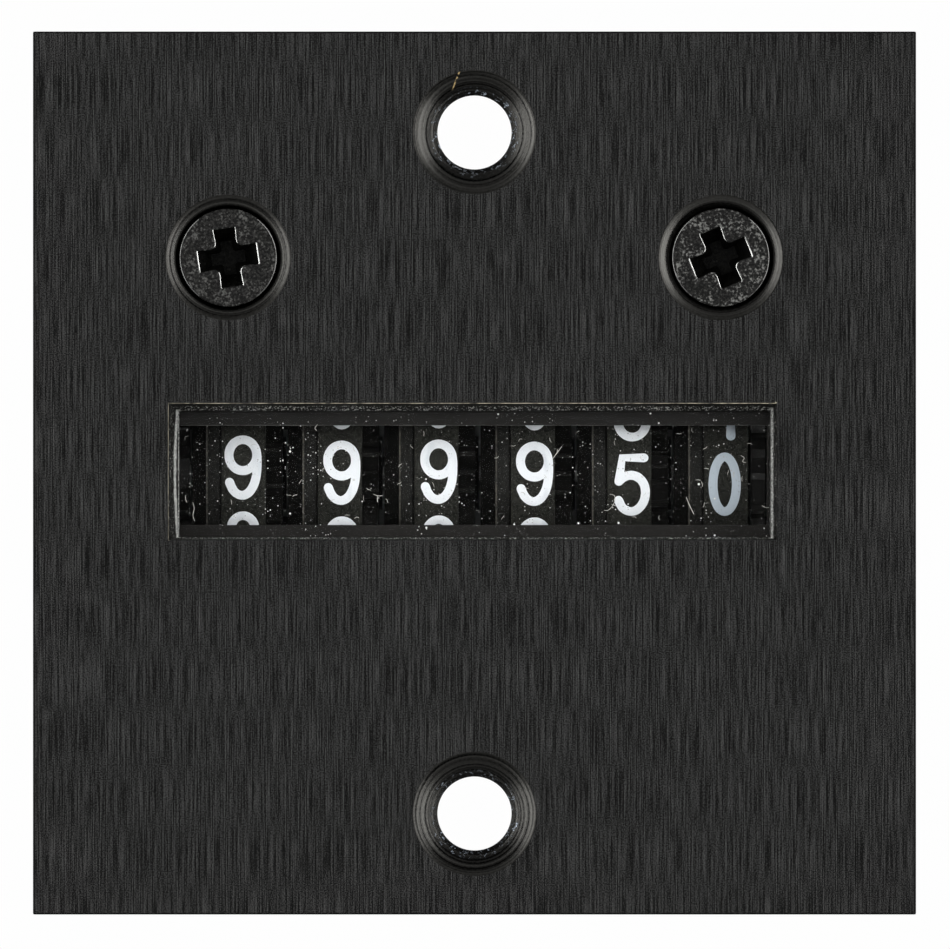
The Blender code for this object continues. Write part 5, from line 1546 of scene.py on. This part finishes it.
@dataclass
class LintOnPane:
    """Fibres that lie on the front of the pane."""

    palette: Palette
    count: int = 46
    reach: tuple[float, float] = (-16.4, 16.3)
    height: tuple[float, float] = (-2.7, 2.4)
    links: int = 4
    link: float = 0.075
    curl: float = 0.8
    seed: int = 3
    fibres: tuple[Fibre, ...] = (
        Fibre(((-16.4, -1.25), (-16.38, -1.5), (-16.3, -1.68))),
        Fibre(((-15.98, -1.65), (-15.9, -2.0), (-15.97, -2.4), (-15.86, -2.75)), 0.026),
        Fibre(((-5.75, -1.2), (-5.45, -1.3), (-5.2, -1.27))),
        Fibre(((-5.5, -1.3), (-5.5, -1.65))),
        Fibre(((4.4, 0.75), (4.65, 1.1), (4.95, 1.5)), 0.024),
        Fibre(((4.68, 1.1), (4.7, 1.35))),
        Fibre(((12.0, -1.35), (12.2, -1.85), (12.45, -2.35)), 0.024),
        Fibre(((7.65, -1.2), (7.95, -1.3), (7.9, -1.75), (7.6, -2.1), (7.35, -2.12)), 0.02),
        Fibre(((15.1, 1.0), (15.3, 0.85), (15.2, 0.65), (15.4, 0.6)), 0.022),
        Fibre(((16.3, -1.85), (16.5, -1.95), (16.7, -1.95)), 0.02),
        Fibre(((-8.9, 2.75), (-9.05, 2.55), (-8.95, 2.4))),
    )

    def crumbs(self) -> Iterable[Fibre]:
        """Short curled fibres, scattered over the pane."""
        draw = random.Random(self.seed)
        for _ in range(self.count):
            u = draw.uniform(*self.reach)
            v = draw.uniform(*self.height)
            heading = draw.uniform(0.0, math.pi)
            points = [(u, v)]
            for _ in range(self.links):
                heading += draw.uniform(-self.curl, self.curl)
                u += self.link * math.cos(heading)
                v += self.link * math.sin(heading)
                points.append((u, v))
            yield Fibre(tuple(points), draw.uniform(0.011, 0.02))

    def make(self) -> None:
        """Build, dress and settle the fibres as one piece."""
        low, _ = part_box("window_lens")
        made = []
        for fibre in (*self.fibres, *self.crumbs()):
            points = along(fibre.points, 0.06)
            line = []
            for k, (u, v) in enumerate(points):
                share = 0.45 + 0.55 * math.sin(math.pi * (k + 0.5) / len(points))
                line.append(((u * MM, low[1] - fibre.half * MM, v * MM), share))
            made.append(Bench.tube("fibre", line, fibre.half * MM, 1))
        lint = Bench.join(made)
        lint.name = "pane_lint"
        Bench.smooth(lint, 60.0)
        Bench.paint(lint, self.palette[Lint()])
        settle(lint, Body.COUNTER, "clear_lens")


# ---- housing and inner parts


@dataclass
class Housing:
    """Moulded housing, its cover, the cover's screws and the terminals."""

    palette: Palette
    sight_top: float = 2.7 * MM
    sight_half: float = 16.9 * MM
    rim: float = 0.13 * MM
    seam: float = 0.26 * MM

    def at_sight_top(self, centre: Vector, normal: Vector) -> bool:
        """Test for the softened edge along the top of the sight opening, which gets a pale line of painted
        highlight.
        """
        near = abs(centre.z - self.sight_top) < 0.15 * MM and abs(centre.x) < self.sight_half
        return near and 0.1 < abs(normal.y) < 0.99 and centre.y < 3.0 * MM

    def make(self) -> None:
        """Build, dress and settle the pieces."""
        shell = Bench.refined("front_case", "housing_shell", 0.12 * MM, 3)
        low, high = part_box("front_case")
        for vertex in shell.data.vertices:
            if vertex.co.y < low[1] + self.rim:
                vertex.co.y -= self.seam
            elif vertex.co.y > high[1] - self.rim:
                vertex.co.y += self.seam
        Bench.paint(shell, self.palette[MouldedBlack()], self.palette[MouldedEdgeHighlight()])
        # Only the top edge of the sight opening gets the pale line: painted highlight.
        Bench.paint_where(shell, 1, self.at_sight_top)
        settle(shell, Body.COUNTER, "case_moulding")
        cover = Bench.refined("rear_cover", "housing_cover", 0.12 * MM, 3)
        Bench.paint(cover, self.palette[MouldedBlack()])
        settle(cover, Body.COUNTER, "case_moulding")
        brass = PlainMetal("terminal_brass", (0.72, 0.53, 0.24), 0.3, (0.6, 6.0, 0.6))
        for side in ("left", "right"):
            blade = Bench.refined(f"terminal_{side}", f"blade_{side}", 0.06 * MM)
            Bench.paint(blade, self.palette[brass])
            settle(blade, Body.COUNTER, "brass")
            self.cover_screw(side)

    def cover_screw(self, side: str) -> None:
        """Round-headed screw of the cover."""
        node = f"cover_screw_{side}"
        low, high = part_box(node)
        head = (high[0] - low[0]) / 2
        deep = high[1] - low[1]
        shank, head_depth = 1.1 * MM, 1.4 * MM
        crown = ((0.0, 0.62), (0.12, 0.78), (0.34, 0.9), (0.7, 0.985), (1.0, 1.0))
        profile = (
            *((down * MM, head * share) for down, share in crown),
            (head_depth, head),
            (head_depth, shank),
            (deep - 0.5 * MM, shank),
            (deep, 0.6 * MM),
        )
        zinc = PlainMetal("screw_zinc", (0.55, 0.55, 0.53), 0.32, (3.0, 3.0, 3.0))
        centre = ((low[0] + high[0]) / 2, high[1], (low[2] + high[2]) / 2)
        CrossScrew(
            self.palette,
            node,
            f"housing_screw_{side}",
            "zinc_steel",
            (zinc, zinc, zinc),
            centre,
            profile,
            inward=-1.0,
            span=2.3 * MM,
            wing=0.7 * MM,
            depth=0.8 * MM,
        ).make()


@dataclass
class Mechanism:
    """CAD nodes of the drive, which keep their shapes and get finishes."""

    palette: Palette

    def finishes(self) -> dict[str, Finish]:
        """Finish of each material slot of the inner parts."""
        return {
            "zinc_steel": PlainMetal("zinc_sheet", (0.5, 0.5, 0.49), 0.36),
            "bright_steel": PlainMetal("turned_steel", (0.62, 0.62, 0.61), 0.25, (6.0, 0.5, 0.5)),
            "brass": PlainMetal("turned_brass", (0.72, 0.53, 0.24), 0.28, (5.0, 0.6, 0.6)),
            "black_acetal": PlainPlastic("black_acetal", (0.014, 0.014, 0.013)),
            "pinion_plastic": PlainPlastic("natural_acetal", (0.6, 0.58, 0.52)),
            "bobbin_plastic": PlainPlastic("ivory_moulding", (0.62, 0.59, 0.5), 0.5),
            "copper_winding": WoundWire(),
        }

    def make(self) -> None:
        """Dress the inner nodes."""
        finishes = self.finishes()
        for part in frame["record"]["subparts"]:
            node, slot = part["node"], part["material_slot"]
            if slot in finishes:
                Bench.paint(frame["nodes"][node], self.palette[finishes[slot]])
                LOG.info("%s: %s", node, finishes[slot].name)


# ---- studio


@dataclass
class Studio:
    """Camera, lamps, world and floor."""

    palette: Palette
    distance: float = 2.0
    view_width: float = 53.79 * MM
    aim: tuple[float, float] = (0.028 * MM, -0.085 * MM)
    lamp_angle: float = 42.0
    lamp_distance: float = 0.75
    lamp_size: tuple[float, float] = (0.5, 0.8)
    lamp_radiance: float = 3.1
    lamp_lift: float = 0.1
    fill_radiance: float = 6.0
    fill_size: float = 1.0
    fill_lift: float = 0.6
    rim_angle: float = 85.0
    rim_size: tuple[float, float] = (0.46, 0.9)
    rim_radiance: float = 17.0
    rear_place: tuple[float, float, float] = (0.7, 1.4, 0.9)
    rear_size: float = 0.9
    rear_radiance: float = 5.0
    ambient: float = 0.22
    floor_z: float = -0.45

    def camera(self) -> None:
        """Camera straight in front of the plate."""
        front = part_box("front_plate")[0][1]
        data = bpy.data.cameras.new("camera")
        data.sensor_width = 36.0
        data.lens = data.sensor_width * self.distance / self.view_width
        data.clip_start = 0.01
        data.clip_end = 50.0
        camera = bpy.data.objects.new("camera", data)
        camera.location = (self.aim[0], front - self.distance, self.aim[1])
        camera.rotation_euler = (math.pi / 2, 0.0, 0.0)
        bpy.context.scene.collection.objects.link(camera)
        bpy.context.scene.camera = camera

    def lamp(self, place: Vector, size: tuple[float, float], radiance: float) -> Piece:
        """Soft lamp that faces the part.

        Args:
            place: its middle.
            size: its width and height.
            radiance: brightness of its face.

        Returns:
            The lamp.
        """
        data = bpy.data.lights.new("soft_lamp", "AREA")
        data.shape = "RECTANGLE"
        data.size, data.size_y = size
        data.energy = radiance * math.pi * size[0] * size[1]
        lamp = bpy.data.objects.new("soft_lamp", data)
        lamp.location = place
        lamp.rotation_euler = (-place).to_track_quat("-Z", "Y").to_euler()
        lamp.visible_camera = False
        bpy.context.scene.collection.objects.link(lamp)
        return lamp

    def aside(self, angle: float, lift: float) -> Vector:
        """Place at an angle in degrees to the side of the camera, lifted."""
        turn = math.radians(angle)
        across, back = math.sin(turn) * self.lamp_distance, -math.cos(turn) * self.lamp_distance
        return Vector((across, back, lift))

    def lamps(self) -> None:
        """Lamps at both sides, sheens for the plate, a fill and a lamp behind the part."""
        shining = bpy.data.collections.new("pieces_with_a_sheen")
        for name in ("face_plate", "face_screw_left", "face_screw_right"):
            shining.objects.link(bpy.data.objects[name])
        for side in (-1, 1):
            place = self.aside(side * self.lamp_angle, self.lamp_lift)
            self.lamp(place, self.lamp_size, self.lamp_radiance)
            sheen = self.lamp(self.aside(side * self.rim_angle, 0.0), self.rim_size, self.rim_radiance)
            sheen.visible_diffuse = False
            sheen.light_linking.receiver_collection = shining
        behind = Vector((0.0, -self.distance * 1.1, self.fill_lift))
        fill = self.lamp(behind, (self.fill_size,) * 2, self.fill_radiance)
        fill.visible_glossy = False
        self.lamp(Vector(self.rear_place), (self.rear_size,) * 2, self.rear_radiance)

    def world(self) -> None:
        """World that is white where it is seen or mirrored, and dim as a light."""
        world = bpy.data.worlds.new("studio")
        bpy.context.scene.world = world
        world.use_nodes = True
        tree = world.node_tree
        path = tree.nodes.new("ShaderNodeLightPath")
        seen = path.outputs["Is Camera Ray"]
        for ray in ("Is Glossy Ray", "Is Transmission Ray"):
            either = tree.nodes.new("ShaderNodeMath")
            either.operation = "MAXIMUM"
            tree.links.new(seen, either.inputs[0])
            tree.links.new(path.outputs[ray], either.inputs[1])
            seen = either.outputs[0]
        level = tree.nodes.new("ShaderNodeMapRange")
        tree.links.new(seen, level.inputs["Value"])
        level.inputs["To Min"].default_value = self.ambient
        level.inputs["To Max"].default_value = 1.0
        background = tree.nodes["Background"]
        background.inputs["Color"].default_value = (0.99, 0.99, 0.99, 1.0)
        tree.links.new(level.outputs[0], background.inputs["Strength"])

    def floor(self) -> None:
        """Pale floor below the part."""
        Bench.clear()
        bpy.ops.mesh.primitive_plane_add(size=8.0, location=(0.0, 0.0, self.floor_z))
        floor = Bench.named("studio_floor")
        floor.visible_glossy = False
        floor.visible_diffuse = False
        Bench.paint(floor, self.palette[PaleFloor()])
        floor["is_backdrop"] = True

    def make(self) -> None:
        """Set up the studio."""
        self.camera()
        self.lamps()
        self.world()
        self.floor()
        bpy.context.scene.view_settings.view_transform = "Standard"


# ---- the whole part


def plate_screws(palette: Palette) -> Iterable[CrossScrew]:
    """Countersunk screws of the plate, each with its own turn and wear."""
    for side, turn, wear in (("left", 8.4, 0.25), ("right", 22.0, 0.7)):
        node = f"plate_screw_{side}"
        low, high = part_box(node)
        head = 2.775 * MM
        deep = high[1] - low[1]
        soft, rim, shank = 0.09 * MM, 0.15 * MM, 1.5 * MM
        angles = [k * math.pi / 10 for k in range(6)]
        profile = (
            *((soft * (1 - math.cos(a)), head - soft * (1 - math.sin(a))) for a in angles),
            (rim, head),
            (rim + head - shank, shank),
            (deep - 0.5 * MM, shank),
            (deep, 1.0 * MM),
        )
        middle = ((low[0] + high[0]) / 2, low[1], (low[2] + high[2]) / 2)
        oxide = BlackOxide(f"black_oxide_{side}", wear=wear)
        # Much darker copy of the oxide for the inside of the recess: painted shade.
        recess = BlackOxide("black_oxide_recess_painted_shade", (0.0016, 0.0016, 0.0014), 0.03)
        yield CrossScrew(
            palette,
            node,
            f"face_screw_{side}",
            "black_screw",
            (oxide, WornEdgeHighlight(), recess),
            middle,
            profile,
            inward=1.0,
            span=3.68 * MM,
            wing=1.2 * MM,
            depth=1.5 * MM,
            turn=math.radians(-turn),
        )


def number_wheels(palette: Palette, press: NumberPress) -> Iterable[NumberWheel]:
    """Number wheels from the left to the right, as the photo shows them."""
    white = NumberInk()
    # The units wheel gets a darker, bluish copy of the white ink: painted shade.
    shaded_ink = NumberInk("number_ink_bluish_painted_shade", (0.5, 0.57, 0.63), (0.36, 0.42, 0.47))
    rows = (
        ("hundred_thousands_wheel", Body.HUNDRED_THOUSANDS, 9, 2.5, -0.03, white),
        ("ten_thousands_wheel", Body.TEN_THOUSANDS, 9, 0.0, 0.1, white),
        ("thousands_wheel", Body.THOUSANDS, 9, 0.5, 0.13, white),
        ("hundreds_wheel", Body.HUNDREDS, 9, -0.5, 0.09, white),
        ("tens_wheel", Body.TENS, 5, -5.6, 0.15, white),
        ("units_wheel", Body.UNITS, 0, -5.4, -0.07, shaded_ink),
    )
    for node, body, reading, lift, aside, ink in rows:
        yield NumberWheel(palette, press, node, body, reading, lift, aside * MM, ink)


def main() -> None:
    """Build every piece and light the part."""
    logging.basicConfig(level=logging.INFO, format="%(name)s %(message)s")
    palette = Palette()
    FacePlate(palette).make()
    for screw in plate_screws(palette):
        screw.make()
    press = NumberPress()
    for wheel in number_wheels(palette, press):
        wheel.make()
    press.put_away()
    Pane(palette).make()
    LintOnPane(palette).make()
    Housing(palette).make()
    Mechanism(palette).make()
    Studio(palette).make()
    Bench.clear()
    boxes = {"cad": [list(corner) for corner in CAD_BOX], "visual": [list(corner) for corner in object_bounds()]}
    LOG.info("boxes: %s", boxes)


if __name__ == "__main__":
    main()
